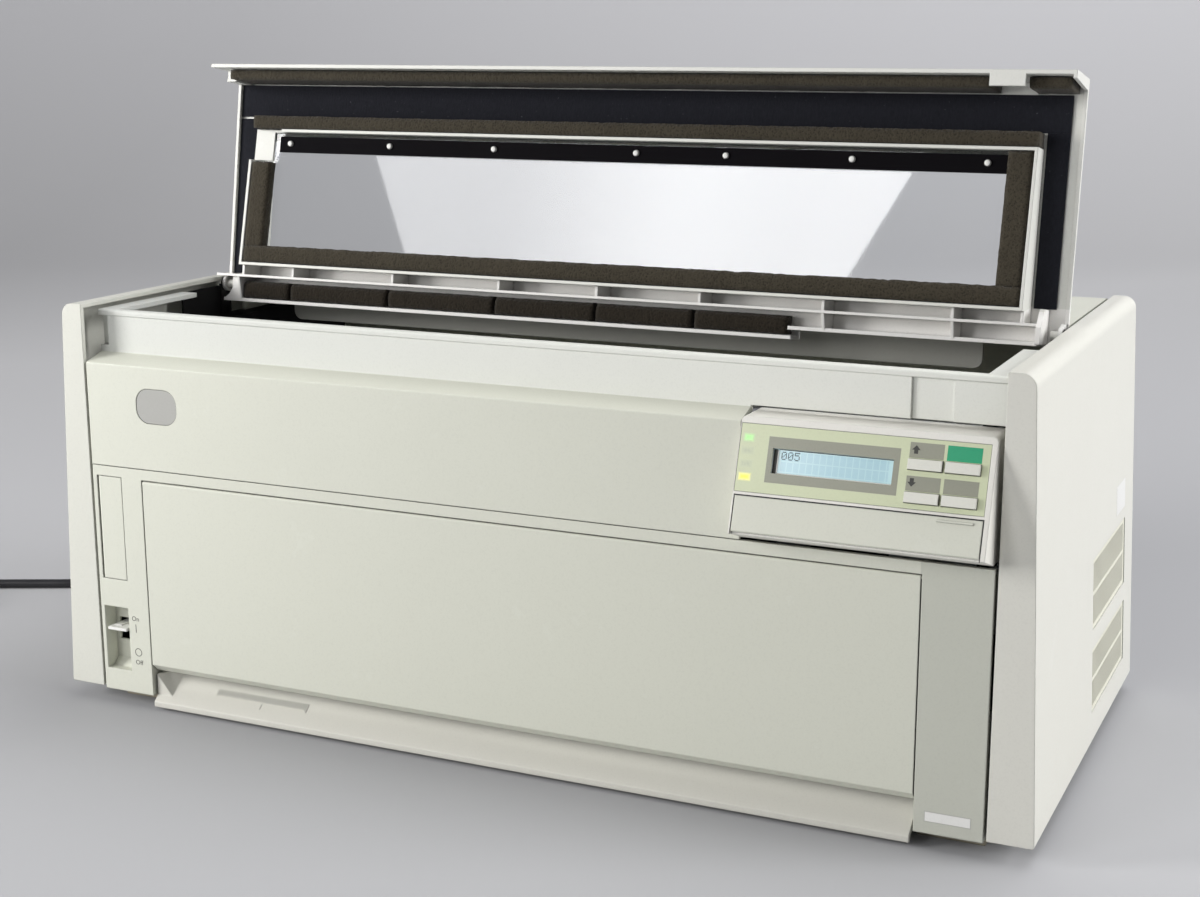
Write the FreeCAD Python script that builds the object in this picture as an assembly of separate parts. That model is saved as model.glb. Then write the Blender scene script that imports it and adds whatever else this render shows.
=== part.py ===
import FreeCAD, Part
import math
import os

# Wide-carriage dot matrix printer, top cover raised. Millimetres.
# X runs to the right seen from the front, Y to the rear, Z up from the floor.
# The origin is on the floor, under the middle of the body.

os.makedirs("parts", exist_ok=True)
V = FreeCAD.Vector

# Overall body
body_depth = 312.2
panel_height = 260.6
floor_gap = 11.0
panel_bottom_half = 327.6
panel_flare = 11.2
seam_inset = 15.0
overrun = 5.0
fit_gap = 0.3
hinge_clearance = 0.05

front_y = -body_depth / 2
rear_y = body_depth / 2
panel_bottom = floor_gap
panel_top = floor_gap + panel_height
panel_top_half = panel_bottom_half - panel_flare
seam_half = panel_top_half - seam_inset

# Lines of the casing that several pieces share
fascia_side_gap = 1.9
pillar_width = 40.0
rim_drop = 5.1
upper_fascia_height = 100.9
hinge_offset = 0.5
band_inset = 15.7
fascia_half = seam_half - fascia_side_gap
door_half = fascia_half - pillar_width
rim_z = panel_top - rim_drop
seam_z = rim_z - upper_fascia_height
hinge_y = hinge_offset
hinge_z = rim_z
band_y = front_y + band_inset

# Side panels
panel_wall = 3.0
panel_round = 8.0
panel_edge_round = 1.5
vent_rear_inset = 30.6
vent_length = 114.0
vent_rise = 20.0
vent_lower_height = 41.0
vent_spacing = 12.0
vent_upper_height = 45.0
vent_slot = 1.9
vent_pitch = 3.8
vent_rim = 3.0
vent_row_count = 2
vent_bar = 2.0
grille_thickness = 1.6
grille_inset = 0.6
vent_front = rear_y - vent_rear_inset - vent_length
vent_lower_bottom = panel_bottom + vent_rise
vent_upper_bottom = vent_lower_bottom + vent_lower_height + vent_spacing

# Front fascia, lower part with the door opening
fascia_skin = 3.0
fascia_bottom = 9.6
seam_gap = 0.5
door_side_gap = 0.8
door_bottom = 31.5
door_head = 8.2
door_top_gap = 0.7
pillar_return = 33.0
pillar_return_wall = 2.5
bar_return = 14.0
door_top = seam_z - door_head

# Front door
door_skin = 3.0
lip_drop = 4.7
lip_back = 10.0
lip_skin = 3.0
door_return = 6.0
door_pin_r = 1.0
door_pin_length = 4.0
door_rib_height = 4.0
door_rib_width = 2.0
door_rib_shares = (-0.694, -0.347, 0, 0.347, 0.694)

# Power switch pocket and lever
pocket_inset = 2.7
pocket_width = 19.6
pocket_bottom = 24.5
pocket_top = 68.4
pocket_depth = 11.0
pocket_wall = 1.6
slot_inset = 3.2
slot_width = 9.4
slot_below = 11.2
slot_above = 4.2
lever_drop = 15.0
lever_pivot_back = 34.0
lever_tip_out = 1.6
paddle_inset = 3.3
paddle_width = 15.0
paddle_thickness = 2.0
paddle_depth = 9.0
lever_neck_width = 6.0
lever_neck_height = 3.0
lever_hub_r = 5.0
lever_pin_r = 1.5
switch_body_width = 15.0
switch_body_height = 32.0
switch_body_depth = 25.0
pocket_left = -fascia_half + pocket_inset
pocket_right = pocket_left + pocket_width
slot_left = pocket_left + slot_inset
slot_right = slot_left + slot_width
paddle_left = pocket_left + paddle_inset
paddle_right = paddle_left + paddle_width
lever_z = pocket_top - lever_drop
slot_bottom = lever_z - slot_below
slot_top = lever_z + slot_above

# Access door in the left pillar
access_inset = 3.4
access_width = 19.4
access_above_pocket = 19.6
access_head = 7.6
access_gap = 0.35
access_skin = 2.4
access_knuckle_r = 2.2
access_pin_r = 1.0
access_pin_length = 2.5
access_boss = 6.0
access_boss_back = 7.0
access_left = -fascia_half + access_inset
access_right = access_left + access_width
access_bottom = pocket_top + access_above_pocket
access_top = seam_z - access_head

# Paper ramp under the door
ramp_overhang = 1.5
ramp_front_z = 6.4
ramp_slope_run = 15.2
ramp_slope_rise = 12.5
ramp_side_gap = 1.0
ramp_skin = 2.5
ramp_bead_r = 2.0
ramp_bead_drop = 2.0
ramp_cheek_width = 11.5
cheek_height = 14.0
ramp_foot = 3.0
ramp_front = front_y - ramp_overhang
ramp_half = door_half - ramp_side_gap
ramp_left_flat = -ramp_half + ramp_cheek_width

# Upper fascia with the badge and the recessed band
ledge_drop = 32.9
ledge_round = 1.0
band_height = 27.9
rim_width = 4.5
rim_round = 1.5
rim_face = 4.0
rim_proud = 0.8
band_foot_round = 1.2
rim_lip = 8.5
band_skin = 3.0
notch_side_gap = 0.8
notch_above_band = 0.9
band_groove_width = 6.5
band_groove_depth = 4.0
band_groove_drop = 23.5
band_groove_head = 4.0
band_backing = 4.5
latch_pocket_inset = -3.3
latch_pocket_width = 22.9
latch_pocket_depth = 1.6
latch_step_depth = 0.8
side_ledge_width = 12.5
side_ledge_gap = 52.5
side_ledge_skin = 3.0
badge_inset = 38.7
badge_width = 31.8
badge_rise = 30.8
badge_height = 23.0
badge_round = 9.5
badge_recess = 1.2
badge_thickness = 0.9
ledge_front_z = rim_z - ledge_drop
band_bottom = rim_z - band_height
notch_top = band_bottom + notch_above_band
band_groove_bottom = rim_z - band_groove_drop
band_groove_top = rim_z - band_groove_head
side_ledge_rear = hinge_y - side_ledge_gap
badge_left = -fascia_half + badge_inset
badge_right = badge_left + badge_width
badge_bottom = seam_z + badge_rise
badge_top = badge_bottom + badge_height

# Operator panel, a wedge that leans out at the bottom
panel_width = 142.3
panel_side_gap = 1.1
panel_face_length = 65.6
panel_face_drop = 29.7
panel_lean = 18.56
panel_seat = 25.0
panel_foot_rise = 1.6
panel_corner = 3.0
panel_skin = 2.5
overlay_left = 0.5
overlay_margin = 3.0
overlay_top = 4.0
overlay_bottom = 42.0
overlay_thickness = 0.8
overlay_clearance = 0.2
lcd_window_left = 20.0
lcd_key_gap = 8.0
lcd_window_top = 16.5
lcd_window_height = 13.9
lcd_margin = 2.0
lcd_thickness = 3.2
key_width = 18.5
key_height = 5.7
key_from_right = 46.3
key_pitch_u = 20.2
key_from_top = 15.3
key_pitch_v = 17.7
key_hole_gap = 0.35
key_stand = 2.2
key_flange = 0.7
key_flange_thickness = 1.1
key_travel = 1.2
led_column = 2.4
led_width = 6.4
led_height = 3.4
led_from_top = 10.2
led_pitch = 7.25
led_count = 4
board_depth = 9.4
board_thickness = 1.6
board_post_r = 2.2
switch_side = 4.6
flap_seam = 2.0
flap_foot = 0.9
flap_left = 1.2
flap_thickness = 2.0
flap_gap = 0.3
flap_pin_r = 0.6
flap_pin_length = 0.8
flap_ridge_inset = 5.1
flap_ridge_length = 19.8
flap_ridge_drop = 1.9
flap_ridge_width = 1.2
flap_ridge_height = 0.7
bay_side = 2.8
bay_side_right = 3.3
bay_head = 2.0
bay_foot = 3.7
bay_depth = 9.0
panel_left = fascia_half - panel_side_gap - panel_width
notch_left = panel_left - notch_side_gap
panel_face_top = rim_z - panel_face_drop
panel_back = front_y + panel_seat
panel_foot_z = seam_z + panel_foot_rise
overlay_right = panel_width - overlay_margin
lcd_window_right = panel_width - key_from_right - lcd_key_gap
lcd_window_bottom = lcd_window_top + lcd_window_height
key_columns = (panel_width - key_from_right, panel_width - key_from_right + key_pitch_u)
key_rows = (key_from_top, key_from_top + key_pitch_v)
led_rows = [led_from_top + i * led_pitch for i in range(led_count)]
flap_top = overlay_bottom + flap_seam
flap_bottom = panel_face_length - flap_foot
flap_right = overlay_right
flap_ridge_right = flap_right - flap_ridge_inset
flap_ridge_left = flap_ridge_right - flap_ridge_length
flap_ridge_top = flap_top + flap_ridge_drop
bay_left = flap_left + bay_side
bay_right = flap_right - bay_side_right
bay_top = flap_top + bay_head
bay_bottom = flap_bottom - bay_foot

# Top cover, measured from its hinge axis in the closed position
cover_angle = 99.26
cover_side_gap = 1.0
cover_rise = 10.0
cover_overhang = 11.4
cover_skin = 2.5
skirt_depth = 39.5
skirt_skin = 2.4
skirt_web_length = 7.0
notch_width = 7.0
notch_reach = 7.6
notch_depth = 20.0
side_lip_depth = 6.0
right_lip_depth = 3.5
side_lip_skin = 2.2
frame_side_inset = 22.9
frame_near = 13.5
frame_far_inset = 42.3
pane_ledge = 7.5
pane_ledge_near = 7.0
frame_wall = 2.0
frame_depth_near = 25.0
frame_depth_far = 17.0
frame_foam = 8.0
pane_thickness = 2.0
corner_cut_length = 22.0
corner_cut_width = 25.0
bracket_overlap = 8.0
retainer_inset = 4.5
retainer_width = 11.2
retainer_left_inset = 13.0
retainer_right_inset = 11.0
retainer_thickness = 1.4
stud_r = 2.0
stud_height = 1.4
stud_inset = 5.0
stud_shares = (-0.9185, -0.6185, -0.3185, 0.0667, 0.2963, 0.6037, 0.9148)
rib_depth = 20.0
rib_skin = 1.8
rib_line = 5.0
rib_overlap = 0.5
rib_shares = (-0.8469, -0.555, -0.2595, 0, 0.2595, 0.555, 0.8469)
gusset_shares = (0.555, 0.8469)
tail_reach = 12.5
tail_depth = 18.0
tail_skin = 2.4
tail_left_inset = 5.0
tail_step_inset = 167.4
tail_step_reach = 6.5
foam_strip = 15.5
foam_low_strip = 12.2
foam_end_gap = 1.0
felt_thickness = 1.5
felt_side_inset = 7.6
felt_seam_gap = 1.3
felt_clearance = 0.2
felt_end_gap = 0.5
top_foam_strip = 9.3
skirt_foam_low = 31.5
skirt_foam_thickness = 6.8
skirt_foam_gap = 0.5
tail_foam_inset = 5.5
tail_foam_shares = (0, 0.0961, 0.2907, 0.4926, 0.6738, 0.8429, 1)
tail_foam_reach = 2.5
tail_foam_top = 2.0
tail_foam_bevel = 2.0
tail_foam_gap = 0.8
cheek_inset = 14.9
cheek_skin = 3.0
cheek_base = 4.6
cheek_tail = 6.0
cheek_plate_width = 15.5
cheek_plate_length = 17.2
cheek_plate_skin = 2.4
cheek_plate_shares = (
    (0, 0), (1, 0), (0.832, 0.657), (0.994, 1), (0.445, 1), (0.445, 0.459), (0.284, 0.215),
)
arm_reach = 15.4
arm_drop = 7.0
arm_tip = 14.5
hinge_pin_r = 3.0
hinge_pin_length = 7.7
eye_r = 5.6
eye_skin = 2.5
eye_arm_run = 7.4
eye_arm_rise = 4.0
hinge_free = 7.4
post_skin = 1.5
post_r = 4.5
post_front = 7.0
post_rear = 4.5
latch_inset = 29.4
latch_width = 21.0
latch_depth = 7.1
cover_half = seam_half - cover_side_gap
cover_reach = hinge_y - band_y + cover_overhang
skirt_end_near = cover_reach - skirt_web_length
frame_half = cover_half - frame_side_inset
frame_far = cover_reach - frame_far_inset
window_half = frame_half - pane_ledge
window_near = frame_near + pane_ledge_near
window_far = frame_far - pane_ledge_near
corner_cut_near = frame_far - corner_cut_length
bracket_right = -window_half + bracket_overlap
retainer_far = frame_far - retainer_inset
retainer_near = retainer_far - retainer_width
retainer_left = -window_half + retainer_left_inset
retainer_right = window_half - retainer_right_inset
stud_s = retainer_far - stud_inset
cheek_inner = cover_half - cheek_inset
tail_left = -cover_half + tail_left_inset
tail_step = cover_half - tail_step_inset
foam_half = frame_half - frame_wall - fit_gap
foam_left_far = corner_cut_near - foam_end_gap
felt_right = cover_half - felt_side_inset
felt_left = -cover_half + side_lip_skin + fit_gap
felt_seam = frame_far + fit_gap + top_foam_strip + felt_clearance - felt_seam_gap
felt_far = cover_reach - skirt_skin - fit_gap - skirt_foam_thickness - felt_end_gap
skirt_foam_half = cover_half - notch_width - skirt_skin - skirt_foam_gap
tail_foam_left = -cheek_inner + tail_foam_inset
tail_foam_right = tail_step - tail_skin + tail_foam_gap - fit_gap
post_outer = seam_half - fit_gap
post_inner = post_outer - post_skin
eye_outer = post_inner - fit_gap
eye_inner = eye_outer - eye_skin
latch_right = cover_half - latch_inset
latch_left = latch_right - latch_width
latch_pocket_left = latch_left + latch_pocket_inset
latch_pocket_right = latch_pocket_left + latch_pocket_width

# Rear cover and rear paper guide
rear_cover_gap = 17.5
rear_cover_drop = 0.6
rear_cover_skin = 3.0
rear_cover_round = 14.0
rear_split_drop = 61.5
rear_inset = 3.5
guide_run = 38.1
guide_overhang = 20.9
guide_below_split = 27.0
guide_drop = 5.0
guide_skin = 2.5
guide_side_inset = 43.0
guide_side = 9.0
deflector_left_inset = 27.0
deflector_right_inset = 36.0
deflector_height_drop = 26.5
deflector_skin = 2.0
deflector_gap = 3.5
deflector_fold = 6.0
deflector_round = 6.0
rear_cover_half = fascia_half
rear_cover_front = hinge_y + rear_cover_gap
rear_cover_top = panel_top - rear_cover_drop
rear_split_z = rim_z - rear_split_drop
rear_inner_y = rear_y - rear_inset
guide_front = rear_y - guide_run
guide_z = rear_split_z - guide_below_split
reach_y = rear_y + guide_overhang
deflector_bottom = rim_z - deflector_height_drop
deflector_y = rear_cover_front + deflector_gap

# Base tray
tray_side_gap = 0.5
tray_front_inset = 38.1
tray_bottom = 8.0
tray_skin = 3.0
tray_wall_drop = 10.0
foot_front_inset = 18.1
foot_rear_inset = 14.1
foot_depth = 30.0
foot_width = 39.0
foot_side_inset = 3.9
tray_half = seam_half - tray_side_gap
tray_front = front_y + tray_front_inset
tray_wall_top = guide_z - tray_wall_drop
foot_front = front_y + foot_front_inset
rear_foot_front = rear_y - foot_rear_inset - foot_depth
foot_outer = tray_half - foot_side_inset
foot_inner = foot_outer - foot_width

# Side frames and rods
frame_plate_inset = 18.4
frame_plate = 2.0
frame_front_inset = 28.1
frame_rear_inset = 26.1
frame_top_drop = 21.5
frame_flange_rear = 13.0
frame_flange_reach = 51.5
frame_wing_skin = 1.5
frame_wing_gap = 1.5
frame_wing_drop = 1.0
frame_notch_run = 20.0
frame_notch_rise = 20.0
frame_notch_above_lever = 22.6
frame_foot_flange = 14.0
rod_r = 6.0
rod_drop = 61.5
front_rod_back = 15.0
rod_spacing = 65.0
tractor_rod_r = 4.0
tractor_rod_drop = 34.0
feed_below_rod = 37.0
front_roller_back = 43.0
frame_plate_half = seam_half - frame_plate_inset
frame_plate_front = front_y + frame_front_inset
frame_plate_rear = rear_y - frame_rear_inset
frame_plate_top = rim_z - frame_top_drop
frame_flange_front = hinge_y - frame_flange_reach
frame_notch_rear = frame_plate_front + frame_notch_run
frame_notch_bottom = lever_z + frame_notch_above_lever
frame_notch_top = frame_notch_bottom + frame_notch_rise
guide_half = frame_plate_half - guide_side_inset
deflector_left = -frame_plate_half + deflector_left_inset
deflector_right = frame_plate_half - deflector_right_inset
rod_z = rim_z - rod_drop
feed_z = rod_z - feed_below_rod
front_roller_y = frame_plate_front + front_roller_back
front_rod_y = front_roller_y + front_rod_back
rear_rod_y = front_rod_y + rod_spacing

# Paper feed
roller_shaft_r = 4.0
roller_r = 9.0
roller_length = 60.0
roller_shares = (-0.7067, -0.3534, 0, 0.3534, 0.7067)
gear_module = 1.0
roller_teeth_count = 40
drive_teeth_count = 60
gear_width = 6.0
gear_gap = 1.5
tooth_root_share = 0.60
tooth_tip_share = 0.24
addendum_share = 0.9
dedendum_share = 1.2
mesh_angle = 234.0
platen_side_gap = 63.0
platen_back = 2.0
platen_depth = 24.0
platen_height = 26.0
platen_above_feed = 12.0
platen_tab = 8.0
feed_motor_r = 20.0
feed_motor_length = 40.0
feed_motor_gap = 0.2
drive_r = drive_teeth_count * gear_module / 2
roller_gear_r = roller_teeth_count * gear_module / 2
drive_y = front_roller_y + roller_gear_r + drive_r
rear_roller_y = drive_y + drive_r + roller_gear_r
tractor_y = front_roller_y + 2 * roller_gear_r * math.cos(math.radians(mesh_angle))
tractor_z = feed_z + 2 * roller_gear_r * math.sin(math.radians(mesh_angle))
gear_x = frame_plate_half + frame_plate + gear_gap
platen_half = frame_plate_half - platen_side_gap
platen_top = feed_z + platen_above_feed
platen_bottom = platen_top - platen_height

# Carriage, print head, ribbon cassette
carriage_half = 35.0
carriage_round_rod = 14.0
carriage_below_rod = 10.0
carriage_above_rod = 17.0
head_half = 16.0
head_back = 18.0
head_depth = 28.0
head_height = 18.0
head_flange = 6.0
head_flange_thickness = 3.0
head_fin_count = 5
fin_gap_share = 0.5
fin_depth = 12.0
nose_half = 4.0
nose_depth = 8.0
nose_gap = 1.8
cassette_half = 74.0
cassette_reach = 32.0
cassette_depth = 54.0
cassette_lift = 3.3
cassette_height = 13.7
cassette_round = 8.0
cassette_arm = 7.0
cassette_arm_reach = 30.0
cassette_arm_x = 30.0
cassette_knob_r = 7.0
cassette_knob_height = 2.5
cassette_knob_share = 0.6
cassette_post = 3.0
carriage_front = front_rod_y - carriage_round_rod
carriage_rear = rear_rod_y + carriage_round_rod
carriage_bottom = rod_z - carriage_below_rod
carriage_top = rod_z + carriage_above_rod
head_front = front_rod_y + head_back
head_rear = head_front + head_depth
head_top = carriage_top + head_height
nose_bottom = platen_top + nose_gap
cassette_front = carriage_front - cassette_reach
cassette_rear = cassette_front + cassette_depth
cassette_bottom = carriage_top + cassette_lift
cassette_top = cassette_bottom + cassette_height
platen_front = head_front + platen_back
platen_rear = platen_front + platen_depth

# Carriage belt drive
belt_reach = 12.0
belt_width = 6.0
belt_thickness = 1.5
belt_gap = 0.3
pulley_r = 9.2
pulley_inset = 21.0
pulley_flange = 1.8
pulley_flange_width = 0.8
motor_r = 18.0
motor_length = 28.0
motor_plate = 2.0
motor_plate_half = 19.5
shaft_r = 2.5
shaft_depth = 9.0
bracket_reach = 7.5
belt_clip_half = 10.0
belt_clip_wall = 3.0
belt_front = carriage_front - belt_reach
pulley_x = frame_plate_half - pulley_inset

# Tractors
tractor_shaft_r = 5.0
tractor_inset = 113.0
tractor_half = 9.0
tractor_front = 13.0
tractor_rear = 12.0
tractor_up = 17.0
tractor_down = 44.0
tractor_round = 10.0
tractor_pin_r = 1.7
tractor_pin_height = 2.2
tractor_pin_pitch = 12.7
tractor_pin_count = 4
tractor_x = frame_plate_half - tractor_inset

# Electronics
fan_side = 80.0
fan_depth = 25.0
fan_from_rear = 50.0
fan_rise = 73.0
fan_bore_r = 37.5
fan_hub_r = 16.0
fan_blade_r = 35.5
fan_blade_count = 7
fan_blade_thickness = 1.6
fan_blade_twist = 35.0
fan_strut = 4.0
fan_pin_r = 2.0
supply_width = 90.0
supply_side_gap = 8.0
supply_front_gap = 38.0
supply_fan_gap = 8.0
supply_height = 62.0
supply_round = 3.0
board_left_gap = 33.0
board_supply_gap = 35.0
board_front_gap = 43.0
board_rear_gap = 32.6
main_board_thickness = 1.6
standoff_height = 5.0
standoff_r = 3.0
fan_y = frame_plate_rear - fan_from_rear
fan_z = tray_bottom + tray_skin + fan_rise
supply_right = frame_plate_half - supply_side_gap
supply_left = supply_right - supply_width
supply_front = frame_plate_front + supply_front_gap
supply_rear = fan_y - fan_side / 2 - supply_fan_gap
board_left = -frame_plate_half + board_left_gap
board_right = supply_left - board_supply_gap
board_front = frame_plate_front + board_front_gap
board_rear = rear_inner_y - board_rear_gap

# Mains inlet, connector and lead
inlet_side_gap = 33.0
inlet_z = 45.0
inlet_width = 28.0
inlet_height = 22.0
inlet_depth = 18.0
inlet_flange = 3.0
inlet_flange_thickness = 2.0
connector_width = 24.0
connector_height = 16.0
connector_length = 26.0
connector_insert = 9.0
connector_gap = 0.3
relief_length = 24.0
relief_r = 7.5
cord_r = 3.5
cord_floor = 3.8
coil_inner_r = 32.0
coil_pitch = 8.6
coil_layer = 8.2
coil_turn_count = 2
quarter_turn_share = 0.5
tangent_share = 0.45
sample_count = 12
tiny_share = 1e-9
plug_length = 34.0
plug_width = 24.0
plug_height = 17.0
plug_round = 4.0
plug_relief = 32.0
plug_relief_r = 6.0
blade_length = 17.0
blade_width = 6.3
blade_thickness = 1.5
blade_spacing = 12.7
inlet_x = -frame_plate_half + inlet_side_gap


def box(x0, x1, y0, y1, z0, z1):
    return Part.makeBox(x1 - x0, y1 - y0, z1 - z0, V(x0, y0, z0))


def outline(corners):
    """points of a closed outline as (u, v) or (u, v, round radius) into straight and arc spans"""
    spans = []
    ends = []
    count = len(corners)
    for i in range(count):
        u, v = corners[i][0], corners[i][1]
        radius = corners[i][2] if len(corners[i]) > 2 else 0
        if radius <= 0:
            ends.append(((u, v), None, (u, v)))
            continue
        before, after = corners[i - 1], corners[(i + 1) % count]
        one = math.atan2(before[1] - v, before[0] - u)
        two = math.atan2(after[1] - v, after[0] - u)
        turn = abs((two - one + math.pi) % (2 * math.pi) - math.pi)
        back = radius / math.tan(turn / 2)
        first = (u + back * math.cos(one), v + back * math.sin(one))
        last = (u + back * math.cos(two), v + back * math.sin(two))
        middle_u = math.cos(one) + math.cos(two)
        middle_v = math.sin(one) + math.sin(two)
        size = math.hypot(middle_u, middle_v)
        away = radius / math.sin(turn / 2) - radius
        middle = (u + away * middle_u / size, v + away * middle_v / size)
        ends.append((first, middle, last))
    for i in range(count):
        first, middle, last = ends[i]
        if middle:
            spans.append((first, middle, last))
        start = ends[(i + 1) % count][0]
        if math.hypot(start[0] - last[0], start[1] - last[1]) > overrun * tiny_share:
            spans.append((last, None, start))
    return spans


def prism(corners, place, sweep):
    edges = []
    for first, middle, last in outline(corners):
        if middle:
            edges.append(Part.Arc(place(*first), place(*middle), place(*last)).toShape())
        else:
            edges.append(Part.LineSegment(place(*first), place(*last)).toShape())
    face = Part.Face(Part.Wire(Part.__sortEdges__(edges)))
    return face.extrude(sweep)


def along_x(corners, x0, x1):
    """outline in (y, z) swept from x0 to x1"""
    return prism(corners, lambda y, z: V(x0, y, z), V(x1 - x0, 0, 0))


def along_y(corners, y0, y1):
    """outline in (x, z) swept from y0 to y1"""
    return prism(corners, lambda x, z: V(x, y0, z), V(0, y1 - y0, 0))


def along_z(corners, z0, z1):
    """outline in (x, y) swept from z0 to z1"""
    return prism(corners, lambda x, y: V(x, y, z0), V(0, 0, z1 - z0))


def rounded(u0, u1, v0, v1, radius):
    return [(u0, v0, radius), (u1, v0, radius), (u1, v1, radius), (u0, v1, radius)]


def rod_x(radius, x0, x1, y, z):
    return Part.makeCylinder(radius, x1 - x0, V(x0, y, z), V(1, 0, 0))


def rod_y(radius, x, y0, y1, z):
    return Part.makeCylinder(radius, y1 - y0, V(x, y0, z), V(0, 1, 0))


def rod_z_up(radius, x, y, z0, z1):
    return Part.makeCylinder(radius, z1 - z0, V(x, y, z0), V(0, 0, 1))


def fuse(shapes):
    solid = shapes[0]
    if len(shapes) > 1:
        solid = solid.multiFuse(shapes[1:])
    return solid.removeSplitter()


def cut(solid, tools):
    return solid.cut(Part.Compound(tools)) if tools else solid


def group(shapes):
    return Part.Compound(shapes)


def mirrored(shape):
    return shape.mirror(V(0, 0, 0), V(1, 0, 0))


nodes = {}


def keep(name, shape):
    nodes[name] = shape


# Side panels: hollow mouldings whose outer face flares towards the floor

def outer_half(z):
    share = (z - panel_bottom) / panel_height
    return panel_bottom_half + (panel_top_half - panel_bottom_half) * share


def side_panel():
    outside = [
        (seam_half, panel_bottom),
        (panel_bottom_half, panel_bottom, panel_edge_round),
        (panel_top_half, panel_top, panel_round),
        (seam_half, panel_top, panel_edge_round / 2),
    ]
    shell = along_y(outside, front_y, rear_y)
    low = panel_bottom + panel_wall
    high = panel_top - panel_wall
    inside = [
        (seam_half - overrun, low),
        (outer_half(low) - panel_wall, low),
        (outer_half(high) - panel_wall, high, panel_round - panel_wall),
        (seam_half - overrun, high),
    ]
    return shell.cut(along_y(inside, front_y + panel_wall, rear_y - panel_wall))


def vent_windows():
    return [
        (vent_lower_bottom, vent_lower_bottom + vent_lower_height),
        (vent_upper_bottom, vent_upper_bottom + vent_upper_height),
    ]


def grille(bottom, top):
    """a thin slotted plate that lies in its window, parallel to the flared face"""
    rear = vent_front + vent_length
    profile = [
        (outer_half(bottom) - grille_inset - grille_thickness, bottom + fit_gap),
        (outer_half(bottom) - grille_inset, bottom + fit_gap),
        (outer_half(top) - grille_inset, top - fit_gap),
        (outer_half(top) - grille_inset - grille_thickness, top - fit_gap),
    ]
    plate = along_y(profile, vent_front + fit_gap, rear - fit_gap)
    slots = []
    row_height = (top - bottom - 2 * vent_rim - (vent_row_count - 1) * vent_bar) / vent_row_count
    count = int((vent_length - 2 * vent_rim) / vent_pitch)
    first = vent_front + (vent_length - (count - 1) * vent_pitch - vent_slot) / 2
    for row in range(vent_row_count):
        z0 = bottom + vent_rim + row * (row_height + vent_bar)
        for i in range(count):
            y0 = first + i * vent_pitch
            slots.append(box(seam_half, panel_bottom_half + overrun, y0, y0 + vent_slot, z0, z0 + row_height))
    return cut(plate, slots)


def make_side_panels():
    panel = side_panel()
    windows = []
    grilles = []
    for bottom, top in vent_windows():
        windows.append(box(outer_half(bottom) - panel_wall * 4, panel_bottom_half + overrun,
                           vent_front, vent_front + vent_length, bottom, top))
        grilles.append(grille(bottom, top))
    keep("right_side_panel", cut(panel, windows))
    keep("left_side_panel", mirrored(side_panel()))
    keep("side_vent_grilles", group(grilles))


# Lower fascia round the front door

opening_half = door_half + door_side_gap
opening_top = door_top + door_top_gap
door_axis_y = front_y + door_skin / 2
door_axis_z = door_top - door_skin / 2
lever_axis_y = front_y + lever_pivot_back
knuckle_x = access_left + access_knuckle_r
knuckle_y = front_y + access_knuckle_r


def make_front_lower_frame():
    top = seam_z - seam_gap
    skin = box(-fascia_half, fascia_half, front_y, front_y + fascia_skin, fascia_bottom, top)
    pieces = [skin]
    opening = box(-opening_half, opening_half, front_y - overrun, front_y + pillar_return + overrun,
                  fascia_bottom - overrun, opening_top)
    for side in (-1, 1):
        inner = side * opening_half
        wall = inner + side * pillar_return_wall
        pieces.append(box(min(inner, wall), max(inner, wall), front_y, front_y + pillar_return, fascia_bottom, top))
        edge = side * fascia_half
        rib = edge - side * fascia_skin
        pieces.append(box(min(edge, rib), max(edge, rib), front_y, front_y + bar_return, fascia_bottom, access_bottom
                          - access_boss_back))
    pieces.append(box(-opening_half, opening_half, front_y, front_y + bar_return, opening_top, opening_top
                      + fascia_skin))
    floor_z = pocket_bottom - pocket_wall
    pieces.append(box(pocket_left - pocket_wall, pocket_right + pocket_wall, front_y,
                      front_y + pocket_depth + pocket_wall, floor_z, pocket_top + pocket_wall))
    boss_left = -fascia_half
    boss_right = knuckle_x + access_knuckle_r
    for z0, z1 in ((access_bottom - access_boss, access_bottom - access_gap),
                   (access_top + access_gap, access_top + access_boss)):
        pieces.append(box(boss_left, boss_right, front_y, front_y + access_boss_back, z0, z1))
    solid = fuse(pieces)
    pocket = along_x([
        (front_y - overrun, pocket_bottom),
        (front_y + pocket_depth - overrun, pocket_bottom),
        (front_y + pocket_depth, pocket_bottom + overrun),
        (front_y + pocket_depth, pocket_top),
        (front_y - overrun, pocket_top),
    ], pocket_left, pocket_right)
    cuts = [
        opening,
        pocket,
        box(slot_left, slot_right, front_y, front_y + pillar_return, slot_bottom, slot_top),
        box(access_left - access_gap, access_right + access_gap, front_y - overrun, front_y + fascia_skin,
            access_bottom - access_gap, access_top + access_gap),
        rod_z_up(access_pin_r + hinge_clearance, knuckle_x, knuckle_y,
                 access_bottom - access_pin_length - fit_gap, access_top + access_pin_length + fit_gap),
        rod_x(door_pin_r + hinge_clearance, -door_half - door_pin_length - fit_gap,
              door_half + door_pin_length + fit_gap, door_axis_y, door_axis_z),
    ]
    for side in (-1, 1):
        near = side * opening_half
        far = near + side * (door_pin_length + door_skin)
        pad = box(min(near, far), max(near, far), front_y, front_y + access_boss_back,
                  door_axis_z - door_skin, door_axis_z + door_skin)
        solid = solid.fuse(pad)
    keep("front_lower_frame", cut(solid.removeSplitter(), cuts))


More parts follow.
